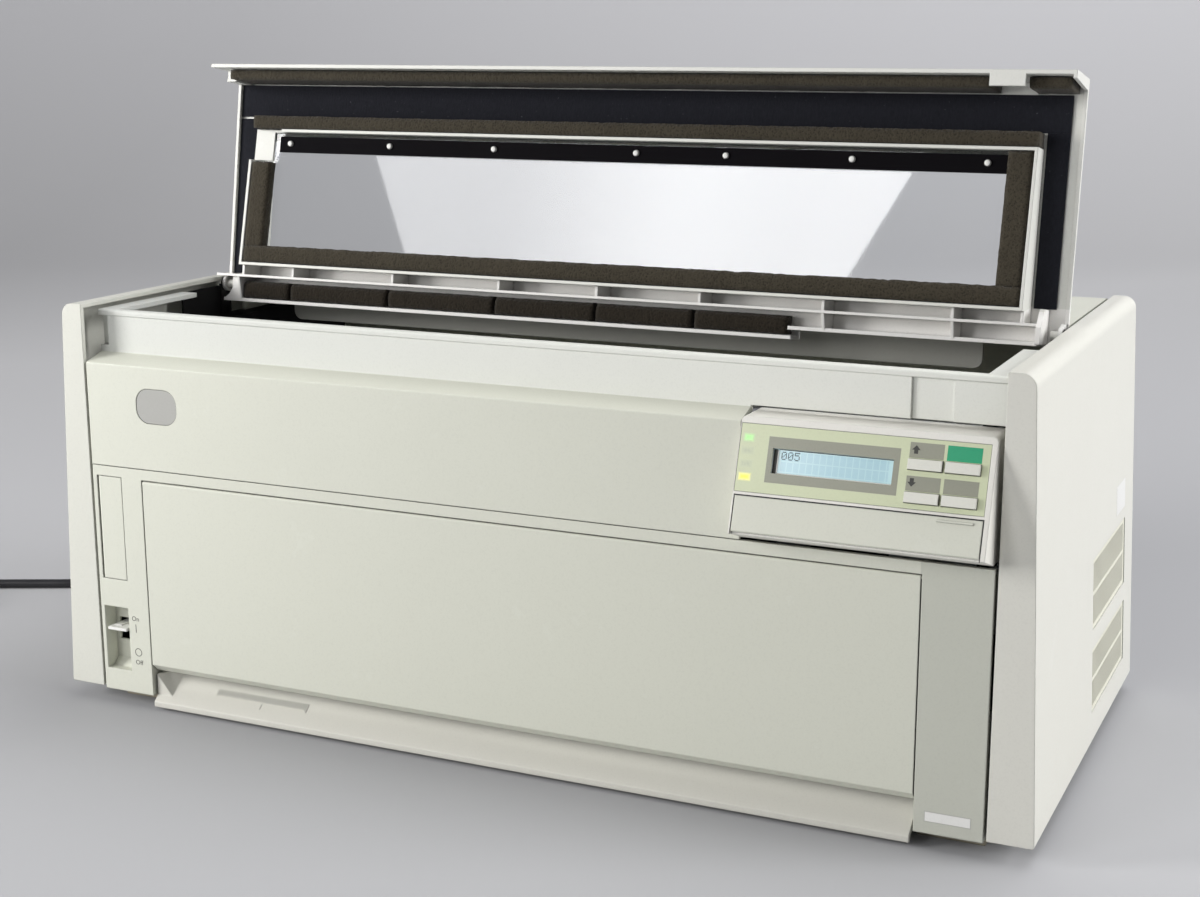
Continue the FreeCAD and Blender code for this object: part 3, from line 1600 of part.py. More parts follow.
def make_side_frames():
    inner = frame_plate_half
    outer = inner + frame_plate
    bottom = tray_bottom + tray_skin
    front = frame_plate_front
    plate = along_x([
        (front, frame_notch_top),
        (frame_notch_rear, frame_notch_bottom),
        (frame_notch_rear, bottom),
        (frame_plate_rear, bottom),
        (frame_plate_rear, frame_plate_top),
        (front, frame_plate_top),
    ], inner, outer)
    low = frame_plate_top - frame_plate
    split = rear_cover_front - frame_plate / 2
    right = fuse([
        plate,
        box(inner, post_outer, frame_flange_front, split, low, frame_plate_top),
        box(post_outer - frame_wing_skin, post_outer, frame_flange_front, hinge_y - post_front - frame_wing_gap,
            low, rim_z - frame_wing_drop),
        box(inner, inner + frame_flange_rear, split, frame_plate_rear, low, frame_plate_top),
        box(inner - frame_foot_flange, outer, frame_notch_rear, frame_plate_rear, bottom, bottom + frame_plate),
    ])
    shafts = (
        (roller_shaft_r, front_roller_y, feed_z),
        (roller_shaft_r, rear_roller_y, feed_z),
        (roller_shaft_r, drive_y, feed_z),
        (tractor_shaft_r, tractor_y, tractor_z),
    )
    holes = [rod_x(r + hinge_clearance, inner - overrun, outer + overrun, y, z) for r, y, z in shafts]
    left = cut(mirrored(right), [mirrored(hole) for hole in holes])
    right = cut(right, holes + [rod_x(fan_bore_r, inner - overrun, outer + overrun, fan_y, fan_z)])
    plate_y = belt_front - belt_gap - motor_plate
    bracket = box(-inner, -pulley_x + bracket_reach, plate_y, plate_y + motor_plate,
                  rod_z - motor_plate_half / 2, rod_z + motor_plate_half / 2)
    pin = rod_y(shaft_r, -pulley_x, plate_y + motor_plate / 2, belt_front + belt_width + belt_gap, rod_z)
    keep("side_frames", group([right, fuse([left, bracket, pin])]))
    keep("guide_rods", group([
        rod_x(rod_r, -inner, inner, front_rod_y, rod_z),
        rod_x(rod_r, -inner, inner, rear_rod_y, rod_z),
        rod_x(tractor_rod_r, -inner, inner, tractor_y, tractor_z - tractor_rod_drop),
    ]))


def gear(teeth, y, z, phase):
    """spur gear across X, a tooth centred phase degrees from +Y"""
    pitch = teeth * gear_module / 2
    tip = pitch + addendum_share * gear_module
    root = pitch - dedendum_share * gear_module
    step = 2 * math.pi / teeth
    corners = []
    for i in range(teeth):
        middle = math.radians(phase) + i * step
        for radius, share in ((root, -tooth_root_share), (tip, -tooth_tip_share),
                              (tip, tooth_tip_share), (root, tooth_root_share)):
            angle = middle + share * step / 2
            corners.append((y + radius * math.cos(angle), z + radius * math.sin(angle)))
    return along_x(corners, gear_x, gear_x + gear_width)


def feed_roller(y):
    end = gear_x + gear_width
    pieces = [rod_x(roller_shaft_r, -frame_plate_half - frame_plate - gear_gap, end, y, feed_z)]
    half = roller_length / 2
    for share in roller_shares:
        x = frame_plate_half * share
        pieces.append(rod_x(roller_r, x - half, x + half, y, feed_z))
    pieces.append(gear(roller_teeth_count, y, feed_z, 0))
    return fuse(pieces)


def make_paper_feed():
    keep("front_feed_roller", feed_roller(front_roller_y))
    keep("rear_feed_roller", feed_roller(rear_roller_y))
    end = gear_x + gear_width
    half_tooth = 180.0 / drive_teeth_count
    motor_end = frame_plate_half - feed_motor_gap
    drive = [
        gear(drive_teeth_count, drive_y, feed_z, half_tooth),
        rod_x(roller_shaft_r, motor_end - shaft_depth, end, drive_y, feed_z),
    ]
    keep("feed_drive_gear", fuse(drive))
    bar = box(-platen_half, platen_half, platen_front, platen_rear, platen_bottom, platen_top)
    tab = (platen_top - platen_bottom) / 4
    pieces = [bar]
    pieces.append(box(-frame_plate_half, -platen_half, platen_front, platen_rear, platen_bottom, platen_top - tab))
    pieces.append(box(platen_half - platen_tab, frame_plate_half, platen_front, platen_rear,
                      platen_bottom - feed_motor_r, feed_z - feed_motor_r - fit_gap * 2))
    pieces.append(box(platen_half - platen_tab, platen_half, platen_front, platen_rear,
                      platen_bottom - feed_motor_r, platen_bottom))
    keep("platen_bar", fuse(pieces))
    plate_y = belt_front - belt_gap - motor_plate
    carriage_motor = fuse([
        rod_y(motor_r, pulley_x, plate_y - motor_length, plate_y, rod_z),
        box(pulley_x - motor_plate_half, frame_plate_half, plate_y, plate_y + motor_plate,
            rod_z - motor_plate_half, rod_z + motor_plate_half),
    ]).cut(rod_y(shaft_r + hinge_clearance, pulley_x, plate_y - shaft_depth - fit_gap, plate_y + overrun, rod_z))
    feed_motor = rod_x(feed_motor_r, motor_end - feed_motor_length, motor_end, drive_y, feed_z)
    feed_motor = feed_motor.cut(rod_x(roller_shaft_r + hinge_clearance, motor_end - shaft_depth - fit_gap,
                                      motor_end + overrun, drive_y, feed_z))
    keep("drive_motors", group([carriage_motor, feed_motor]))


def make_tractors():
    end = gear_x + gear_width
    half_tooth = 180.0 / roller_teeth_count
    keep("tractor_shaft", fuse([
        rod_x(tractor_shaft_r, -frame_plate_half - frame_plate - gear_gap, end, tractor_y, tractor_z),
        gear(roller_teeth_count, tractor_y, tractor_z, half_tooth),
    ]))
    for name, x in (("left_tractor", -tractor_x), ("right_tractor", tractor_x)):
        block = along_x(rounded(tractor_y - tractor_front, tractor_y + tractor_rear, tractor_z - tractor_down,
                                tractor_z + tractor_up, tractor_round), x - tractor_half, x + tractor_half)
        pieces = [block]
        first = tractor_z - tractor_down / 2 - tractor_pin_pitch / 2
        for i in range(tractor_pin_count):
            pieces.append(rod_y(tractor_pin_r, x, tractor_y - tractor_front - tractor_pin_height,
                                tractor_y, first + i * tractor_pin_pitch - tractor_pin_pitch / 2))
        solid = fuse(pieces)
        solid = cut(solid, [
            rod_x(tractor_shaft_r + hinge_clearance, x - tractor_half - overrun, x + tractor_half + overrun,
                  tractor_y, tractor_z),
            rod_x(tractor_rod_r + hinge_clearance, x - tractor_half - overrun, x + tractor_half + overrun,
                  tractor_y, tractor_z - tractor_rod_drop),
        ])
        keep(name, solid)


# Carriage group

def make_carriage():
    block = box(-carriage_half, carriage_half, carriage_front, carriage_rear, carriage_bottom, carriage_top)
    clip_low = rod_z + pulley_r + fit_gap - belt_clip_wall
    clip_high = rod_z + pulley_r + belt_thickness + fit_gap * 3 + belt_clip_wall
    clip_front = belt_front - belt_gap - belt_clip_wall
    clip = box(-belt_clip_half, belt_clip_half, clip_front, carriage_front, clip_low, clip_high)
    solid = fuse([block, clip])
    slot = box(-belt_clip_half - overrun, belt_clip_half + overrun, belt_front - belt_gap,
               belt_front + belt_width + belt_gap, clip_low + belt_clip_wall - fit_gap / 2,
               clip_high - belt_clip_wall)
    well = box(-head_half - fit_gap, head_half + fit_gap, head_front - fit_gap, head_rear + fit_gap,
               carriage_bottom - overrun, carriage_top + overrun)
    bores = [rod_x(rod_r + hinge_clearance, -carriage_half - overrun, carriage_half + overrun, y, rod_z)
             for y in (front_rod_y, rear_rod_y)]
    keep("carriage", cut(solid, [slot, well] + bores))
    middle = (head_front + head_rear) / 2
    head = [
        box(-head_half, head_half, head_front, head_rear, carriage_bottom, head_top),
        box(-head_half - head_flange, head_half + head_flange, head_front - head_flange, head_rear + head_flange,
            carriage_top, carriage_top + head_flange_thickness),
        box(-nose_half, nose_half, middle - nose_depth / 2, middle + nose_depth / 2, nose_bottom, carriage_bottom),
    ]
    fin_pitch = 2 * head_half / (head_fin_count + 1)
    slots = []
    for i in range(head_fin_count):
        x = -head_half + fin_pitch * (i + 1)
        slots.append(box(x - fin_pitch * fin_gap_share / 2, x + fin_pitch * fin_gap_share / 2,
                         head_front - overrun, head_rear + overrun, head_top - fin_depth, head_top + overrun))
    keep("print_head", cut(fuse(head), slots))
    body = along_z(rounded(-cassette_half, cassette_half, cassette_front, cassette_rear, cassette_round),
                   cassette_bottom, cassette_top)
    pieces = [body]
    for side in (-1, 1):
        near = side * cassette_arm_x
        far = side * (cassette_arm_x + cassette_arm)
        pieces.append(box(min(near, far), max(near, far), cassette_rear - overrun, cassette_rear
                          + cassette_arm_reach, cassette_bottom, cassette_top - cassette_knob_height * 2))
    pieces.append(rod_z_up(cassette_knob_r, cassette_half * cassette_knob_share, (cassette_front + cassette_rear) / 2,
                           cassette_top - cassette_knob_height, cassette_top + cassette_knob_height))
    pieces.append(box(-carriage_half + cassette_post, carriage_half - cassette_post, carriage_front,
                      carriage_front + cassette_post * 3, carriage_top, cassette_bottom + cassette_post))
    keep("ribbon_cassette", fuse(pieces))


def make_belt_drive():
    outer = pulley_r + fit_gap + belt_thickness
    inner = pulley_r + fit_gap

    def loop(radius, y0, y1):
        bar = box(-pulley_x, pulley_x, y0, y1, rod_z - radius, rod_z + radius)
        return fuse([bar, rod_y(radius, -pulley_x, y0, y1, rod_z), rod_y(radius, pulley_x, y0, y1, rod_z)])

    belt = loop(outer, belt_front, belt_front + belt_width)
    keep("carriage_belt", belt.cut(loop(inner, belt_front - overrun, belt_front + belt_width + overrun)))
    rear = belt_front + belt_width
    plate_y = belt_front - belt_gap - motor_plate
    wheel = rod_y(pulley_r, pulley_x, belt_front, rear, rod_z)
    shaft = rod_y(shaft_r, pulley_x, plate_y - shaft_depth, rear, rod_z)
    flange = rod_y(pulley_r + pulley_flange, pulley_x, rear + belt_gap, rear + belt_gap + pulley_flange_width, rod_z)
    neck = rod_y(pulley_r, pulley_x, rear, rear + belt_gap + pulley_flange_width, rod_z)
    keep("drive_pulley", fuse([wheel, shaft, neck, flange]))
    idler = fuse([
        rod_y(pulley_r, -pulley_x, belt_front, rear + belt_gap + pulley_flange_width, rod_z),
        rod_y(pulley_r + pulley_flange, -pulley_x, rear + belt_gap, rear + belt_gap + pulley_flange_width, rod_z),
    ])
    keep("idler_pulley", idler.cut(rod_y(shaft_r + hinge_clearance, -pulley_x, belt_front - overrun,
                                         rear + overrun, rod_z)))


# Electronics

def make_electronics():
    floor_z = tray_bottom + tray_skin
    low = floor_z + standoff_height
    high = low + main_board_thickness
    pieces = [box(board_left, board_right, board_front, board_rear, low, high)]
    inset = standoff_r * 2
    for x in (board_left + inset, board_right - inset):
        for y in (board_front + inset, board_rear - inset):
            pieces.append(rod_z_up(standoff_r, x, y, floor_z, low + main_board_thickness / 2))
    width = board_right - board_left
    depth = board_rear - board_front
    for x_share, y_share, w_share, d_share, tall_share in chip_shares:
        x0 = board_left + width * x_share
        y0 = board_front + depth * y_share
        pieces.append(box(x0, x0 + width * w_share, y0, y0 + depth * d_share, high - main_board_thickness / 2,
                          high + standoff_height * tall_share))
    keep("logic_board", fuse(pieces))
    block = along_z(rounded(supply_left, supply_right, supply_front, supply_rear, supply_round),
                    floor_z + frame_plate, floor_z + frame_plate + supply_height)
    block = block.cut(box(frame_plate_half - frame_foot_flange - fit_gap, supply_right + overrun, supply_front - overrun,
                          supply_rear + overrun, floor_z, floor_z + frame_plate * 2))
    foot = box(supply_left + supply_round, frame_plate_half - frame_foot_flange - overrun, supply_front + supply_round,
               supply_rear - supply_round, floor_z, floor_z + frame_plate * 2)
    keep("power_supply", fuse([block, foot]))


chip_shares = (
    (0.06, 0.15, 0.12, 0.22, 0.8),
    (0.26, 0.20, 0.16, 0.30, 1.0),
    (0.50, 0.15, 0.10, 0.20, 0.7),
    (0.66, 0.55, 0.14, 0.25, 0.9),
    (0.10, 0.62, 0.20, 0.12, 1.6),
    (0.40, 0.70, 0.16, 0.10, 1.6),
    (0.84, 0.20, 0.06, 0.60, 2.0),
)


def make_fan():
    outer = frame_plate_half - fit_gap
    inner = outer - fan_depth
    half = fan_side / 2
    housing = box(inner, outer, fan_y - half, fan_y + half, fan_z - half, fan_z + half)
    housing = housing.cut(rod_x(fan_bore_r, inner - overrun, outer + overrun, fan_y, fan_z))
    strut_outer = inner + fan_strut
    pieces = [housing, rod_x(fan_hub_r, inner, strut_outer, fan_y, fan_z)]
    reach = (fan_bore_r + half) / 2
    for y0, y1, z0, z1 in (
            (-reach, reach, -fan_strut / 2, fan_strut / 2),
            (-fan_strut / 2, fan_strut / 2, -reach, reach)):
        pieces.append(box(inner, inner + fan_strut / 2, fan_y + y0, fan_y + y1, fan_z + z0, fan_z + z1))
    pieces.append(rod_x(fan_pin_r, inner, outer - fan_strut, fan_y, fan_z))
    pieces.append(box(inner, outer, fan_y - half, fan_y + half, tray_bottom + tray_skin + frame_plate,
                      fan_z - half + fan_strut / 2))
    keep("fan_housing", fuse(pieces))
    rotor_inner = strut_outer + fit_gap
    rotor_outer = outer - fan_strut / 2
    hub = rod_x(fan_hub_r, rotor_inner, rotor_outer, fan_y, fan_z)
    blades = []
    for i in range(fan_blade_count):
        blade = box(rotor_inner + fan_strut / 2, rotor_outer - fan_strut / 2, -fan_blade_thickness / 2,
                    fan_blade_thickness / 2, fan_hub_r - fan_strut / 2, fan_blade_r - fan_strut)
        centre = (rotor_inner + rotor_outer) / 2
        blade.rotate(V(centre, 0, 0), V(0, 0, 1), fan_blade_twist)
        blade.rotate(V(0, 0, 0), V(1, 0, 0), i * 360.0 / fan_blade_count)
        blade.translate(V(0, fan_y, fan_z))
        blades.append(blade)
    rotor = fuse([hub] + blades)
    keep("fan_rotor", rotor.cut(rod_x(fan_pin_r + hinge_clearance, inner, outer - fan_strut + fit_gap,
                                      fan_y, fan_z)))


# Mains inlet, connector and lead

def make_inlet():
    back = rear_inner_y
    half_w = inlet_width / 2
    half_h = inlet_height / 2
    flange = box(inlet_x - half_w - inlet_flange, inlet_x + half_w + inlet_flange, back,
                 back + inlet_flange_thickness, inlet_z - half_h - inlet_flange, inlet_z + half_h + inlet_flange)
    body = box(inlet_x - half_w, inlet_x + half_w, back - inlet_depth, back + inlet_flange_thickness,
               inlet_z - half_h, inlet_z + half_h)
    socket = along_y(rounded(inlet_x - connector_width / 2 - connector_gap, inlet_x + connector_width / 2
                             + connector_gap, inlet_z - connector_height / 2 - connector_gap,
                             inlet_z + connector_height / 2 + connector_gap, plug_round / 2),
                     back + inlet_flange_thickness - connector_insert - connector_gap, back + overrun)
    keep("mains_inlet", fuse([flange, body]).cut(socket))
    start = back + inlet_flange_thickness - connector_insert
    block = along_y(rounded(inlet_x - connector_width / 2, inlet_x + connector_width / 2,
                            inlet_z - connector_height / 2, inlet_z + connector_height / 2, plug_round / 2),
                    start, start + connector_length)
    relief = Part.makeCone(relief_r, cord_r + connector_gap, relief_length, V(inlet_x, start + connector_length,
                                                                             inlet_z), V(0, 1, 0))
    keep("cord_connector", fuse([block, relief]))


cord_start_y = rear_inner_y + inlet_flange_thickness - connector_insert + connector_length + relief_length

# Route of the free stretch, chosen by hand: out of the connector, down to the floor,
# round the left rear corner and out to the coil on the left.
cord_route = [
    (inlet_x, cord_start_y, inlet_z),
    (inlet_x, 232.0, 43.0),
    (-259.0, 270.0, 26.0),
    (-285.0, 302.0, 8.0),
    (-328.0, 320.0, cord_floor),
    (-383.0, 304.0, cord_floor),
    (-424.0, 254.0, cord_floor),
    (-438.0, 189.0, cord_floor),
    (-446.0, 121.0, cord_floor),
    (-466.0, 55.0, cord_floor),
    (-550.5, 17.5, cord_floor),
    (-606.0, -12.0, cord_floor),
]


def biarc(p0, t0, p1, t1):
    """two arcs from p0 along t0 to p1 along t1"""
    v = p1 - p0
    t = t0 + t1
    a = 2 * (t0.dot(t1) - 1)
    b = -2 * v.dot(t)
    c = v.dot(v)
    if abs(a) < cord_r * tiny_share:
        d = -c / b
    else:
        root = math.sqrt(b * b - 4 * a * c)
        d = max((-b + root) / (2 * a), (-b - root) / (2 * a))
    q0 = p0 + t0 * d
    q1 = p1 - t1 * d
    joint = (q0 + q1) * 0.5
    return [arc_edge(p0, q0, joint), arc_edge(joint, q1, p1)]


def arc_edge(start, corner, end):
    """the arc that leaves start and reaches end along the lines through corner"""
    one = (start - corner)
    two = (end - corner)
    reach = one.Length
    one.normalize()
    two.normalize()
    half = math.acos(max(-1.0, min(1.0, one.dot(two)))) / 2
    inward = one + two
    if inward.Length < cord_r * tiny_share:
        return Part.LineSegment(start, end).toShape()
    inward.normalize()
    radius = reach * math.tan(half)
    middle = corner + inward * (radius / math.sin(half) - radius)
    return Part.Arc(start, middle, end).toShape()


def tube(edges, start, direction, label):
    path = Part.Wire(edges)
    section = Part.Wire([Part.Circle(start, direction, cord_r).toShape()])
    solid = path.makePipeShell([section], True, False)
    ideal = math.pi * cord_r ** 2 * path.Length
    print(label, "length", round(path.Length, 1), "volume over section times length", round(solid.Volume / ideal, 4))
    return solid


def route_edges(points):
    """straight runs joined by tangent arcs, each as large as its two runs allow"""
    edges = []
    at = points[0]
    radii = []
    for i in range(1, len(points) - 1):
        corner = points[i]
        before = points[i - 1] - corner
        after = points[i + 1] - corner
        shorter = min(before.Length, after.Length)
        before.normalize()
        after.normalize()
        turn = math.pi - math.acos(max(-1.0, min(1.0, before.dot(after))))
        back = tangent_share * shorter
        radii.append(back / math.tan(turn / 2))
        first = corner + before * back
        last = corner + after * back
        edges.append(Part.LineSegment(at, first).toShape())
        edges.append(arc_edge(first, corner, last))
        at = last
    edges.append(Part.LineSegment(at, points[-1]).toShape())
    print("arc radii of the lead", [round(r, 1) for r in radii])
    return edges


def coil_node(k, centre, start_angle):
    """place and heading k half turns into the coil: in on the floor, out again on top"""
    layer_turns = int(round(2 * coil_turn_count))
    steps = layer_turns - min(k, layer_turns) + max(0, k - layer_turns - 1)
    radius = coil_inner_r + coil_pitch * steps / 2
    height = cord_floor if k <= layer_turns else cord_floor + coil_layer
    angle = start_angle + math.pi * k
    place = V(centre.x + radius * math.cos(angle), centre.y + radius * math.sin(angle), height)
    return place, V(-math.sin(angle), math.cos(angle), 0)


def make_cord():
    points = [V(*p) for p in cord_route]
    keep("mains_cord", tube(route_edges(points), points[0], V(0, 1, 0), "lead"))
    way = points[-1] - points[-2]
    way.normalize()
    first = points[-1] + way * (2 * cord_r)
    layer_turns = int(round(2 * coil_turn_count))
    outer_r = coil_inner_r + coil_pitch * layer_turns / 2
    centre = first + V(0, 0, 1).cross(way) * outer_r
    start_angle = math.atan2(first.y - centre.y, first.x - centre.x)
    edges = [Part.LineSegment(points[-1], first).toShape()]
    at = first
    heading = way
    for k in list(range(1, 2 * layer_turns + 1)) + [2 * layer_turns + quarter_turn_share]:
        place, ahead = coil_node(k, centre, start_angle)
        edges += biarc(at, heading, place, ahead)
        at, heading = place, ahead
    end = at + heading * (2 * cord_r)
    edges.append(Part.LineSegment(at, end).toShape())
    keep("cord_coil", tube(edges, points[-1], way, "coil"))
    print_coil_gap(edges)
    make_plug(end, heading)


def print_coil_gap(edges):
    """least gap of the coil to itself, on points half a turn or more apart along it"""
    points = []
    run = 0.0
    for edge in edges:
        for p in edge.discretize(sample_count)[1:]:
            points.append((run + edge.Length, p))
        run += edge.Length
    least = min(
        a[1].distanceToPoint(b[1]) for i, a in enumerate(points) for b in points[i + 1:]
        if abs(b[0] - a[0]) > math.pi * coil_inner_r)
    print("least gap of the coil to itself", round(least - 2 * cord_r, 2))


def make_plug(at, way):
    side = V(0, 0, 1).cross(way)
    relief = Part.makeCone(cord_r + connector_gap, plug_relief_r, plug_relief, at, way)
    base = at + way * plug_relief
    half_w = plug_width / 2
    half_h = plug_height / 2
    block = along_x(rounded(-half_w, half_w, -half_h, half_h, plug_round), 0, plug_length)
    blades = []
    for place in (-blade_spacing / 2, blade_spacing / 2):
        blades.append(box(plug_length - overrun, plug_length + blade_length, place - blade_thickness / 2,
                          place + blade_thickness / 2, -blade_width / 2, blade_width / 2))
    turn = FreeCAD.Rotation(V(1, 0, 0), way)
    pieces = [relief]
    for shape in [block] + blades:
        shape.Placement = FreeCAD.Placement(base, turn).multiply(shape.Placement)
        pieces.append(shape)
    keep("mains_plug", fuse(pieces))
    print("plug from", [round(c, 1) for c in at], "heading", [round(c, 3) for c in way])


make_side_panels()
make_front_lower_frame()
make_front_door()
make_access_door()
make_power_switch()
make_paper_ramp()
make_front_upper_fascia()
make_operator_panel()
make_keys()
make_panel_board()
make_panel_flap()
make_cover_shell()
make_cover_window()
make_cover_soft_parts()
make_hinge_pins()
make_rear_cover()
make_rear_guide()
make_base()
make_side_frames()
make_paper_feed()
make_tractors()
make_carriage()
make_belt_drive()
make_electronics()
make_fan()
make_inlet()
make_cord()

for name, shape in nodes.items():
    if not shape.isValid():
        print("not valid:", name)
    shape.exportStep("parts/" + name + ".step")
print(len(nodes), "nodes")
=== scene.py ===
import math
import bpy
from mathutils import Matrix, Vector, noise


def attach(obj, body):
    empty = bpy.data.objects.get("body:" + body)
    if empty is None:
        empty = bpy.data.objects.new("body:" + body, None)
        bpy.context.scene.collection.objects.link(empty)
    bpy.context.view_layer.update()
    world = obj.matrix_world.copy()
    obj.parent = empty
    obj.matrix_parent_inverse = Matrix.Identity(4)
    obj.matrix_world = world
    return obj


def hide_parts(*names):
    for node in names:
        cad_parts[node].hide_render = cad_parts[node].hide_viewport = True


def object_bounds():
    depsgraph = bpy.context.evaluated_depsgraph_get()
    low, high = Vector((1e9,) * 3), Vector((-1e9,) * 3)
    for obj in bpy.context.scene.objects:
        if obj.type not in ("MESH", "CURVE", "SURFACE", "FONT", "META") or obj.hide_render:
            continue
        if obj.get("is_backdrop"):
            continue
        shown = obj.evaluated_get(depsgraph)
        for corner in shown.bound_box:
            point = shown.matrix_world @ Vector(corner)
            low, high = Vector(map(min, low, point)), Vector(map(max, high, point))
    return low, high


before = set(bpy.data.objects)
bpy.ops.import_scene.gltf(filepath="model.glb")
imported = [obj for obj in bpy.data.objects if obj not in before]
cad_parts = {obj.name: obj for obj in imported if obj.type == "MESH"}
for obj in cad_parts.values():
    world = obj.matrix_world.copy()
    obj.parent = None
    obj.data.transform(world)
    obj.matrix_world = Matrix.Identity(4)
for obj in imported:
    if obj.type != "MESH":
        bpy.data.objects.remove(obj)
cad_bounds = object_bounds()
scene = bpy.context.scene
scene.view_settings.view_transform = "Standard"
noise.seed_set(1)        # otherwise the clock seeds noise_vector, and each run gives other foam
MM = 0.001

# The slanted operator panel: all lengths are in millimetres, unless a comment says otherwise
LEAN = math.radians(18.56)
PANEL = Vector((156.1, -156.1, 236.8))                      # its upper left corner
FLAP_TOP, FLAP_FOOT, FLAP_LEFT, FLAP_RIGHT = 44.0, 66.0, 1.2, 139.3
CELLS_LEFT, CELLS_TOP, CELLS_RIGHT = 24.5, 17.6, 85.0       # the display's character cells
CELL_PITCH_U, CELL_PITCH_V = 3.72, 5.9
DOT_PITCH_U, DOT_PITCH_V = 0.62, 0.655
LIGHT_MIDDLE, LIGHT_FIRST, LIGHT_PITCH = 5.6, 11.9, 7.25    # the four status lights
GLASS_LEVEL = -2.8                                          # the display lies this far in

# The raised cover, its hinge and its window rim
RAISED = math.radians(99.26)
HINGE_Y, HINGE_Z = 0.5, 266.5
FRAME_NEAR, FRAME_FAR = 13.5, 110.0
RIM_NEAR, RIM_GROWS = -17.5, 8.0
COVER_SKIN = 7.1

# The front face and the right panel's flared face
FRONT_Y = -156.1
SIDE_FOOT_X, SIDE_FOOT_Z, SIDE_FLARE = 327.6, 11.0, 11.2 / 260.6


def pan(u, v, n):
    """a point on the operator panel: u right, v down its face, n out of it"""
    return Vector((PANEL.x + u, PANEL.y - v * math.sin(LEAN) - n * math.cos(LEAN),
                   PANEL.z - v * math.cos(LEAN) + n * math.sin(LEAN))) * MM


def cov(x, s, h):
    """a point of the raised cover: s from the hinge to its free edge, h up when closed"""
    c, d = math.cos(RAISED), math.sin(RAISED)
    return Vector((x, HINGE_Y - s * c + h * d, HINGE_Z + s * d + h * c)) * MM


def rim(s, above=0.0):
    """height of the window rim's free edge at s, or of a place above it"""
    return RIM_NEAR + RIM_GROWS * (s - FRAME_NEAR) / (FRAME_FAR - FRAME_NEAR) + above


# Camera, solved from the straight edges in the photograph

SENSOR_WIDE, FOCAL_PIXELS, PHOTO_PIXELS = 36.0, 1856.22, 1200


def make_camera():
    data = bpy.data.cameras.new("photo_camera")
    data.sensor_fit = "HORIZONTAL"
    data.sensor_width = SENSOR_WIDE
    data.lens = FOCAL_PIXELS / PHOTO_PIXELS * SENSOR_WIDE
    data.clip_end = 60.0
    data.dof.use_dof = False
    cam = bpy.data.objects.new("photo_camera", data)
    right = Vector((0.90843097, 0.41802971, -0.00208144))
    up = Vector((-0.09017507, 0.20081877, 0.97546926))
    back = Vector((0.40819313, -0.88595879, 0.22012584))
    turn = Matrix((right, up, back)).transposed()
    cam.matrix_world = Matrix.Translation(Vector((0.50442, -1.09998, 0.4444))) @ turn.to_4x4()
    scene.collection.objects.link(cam)
    scene.camera = cam


make_camera()


# Materials

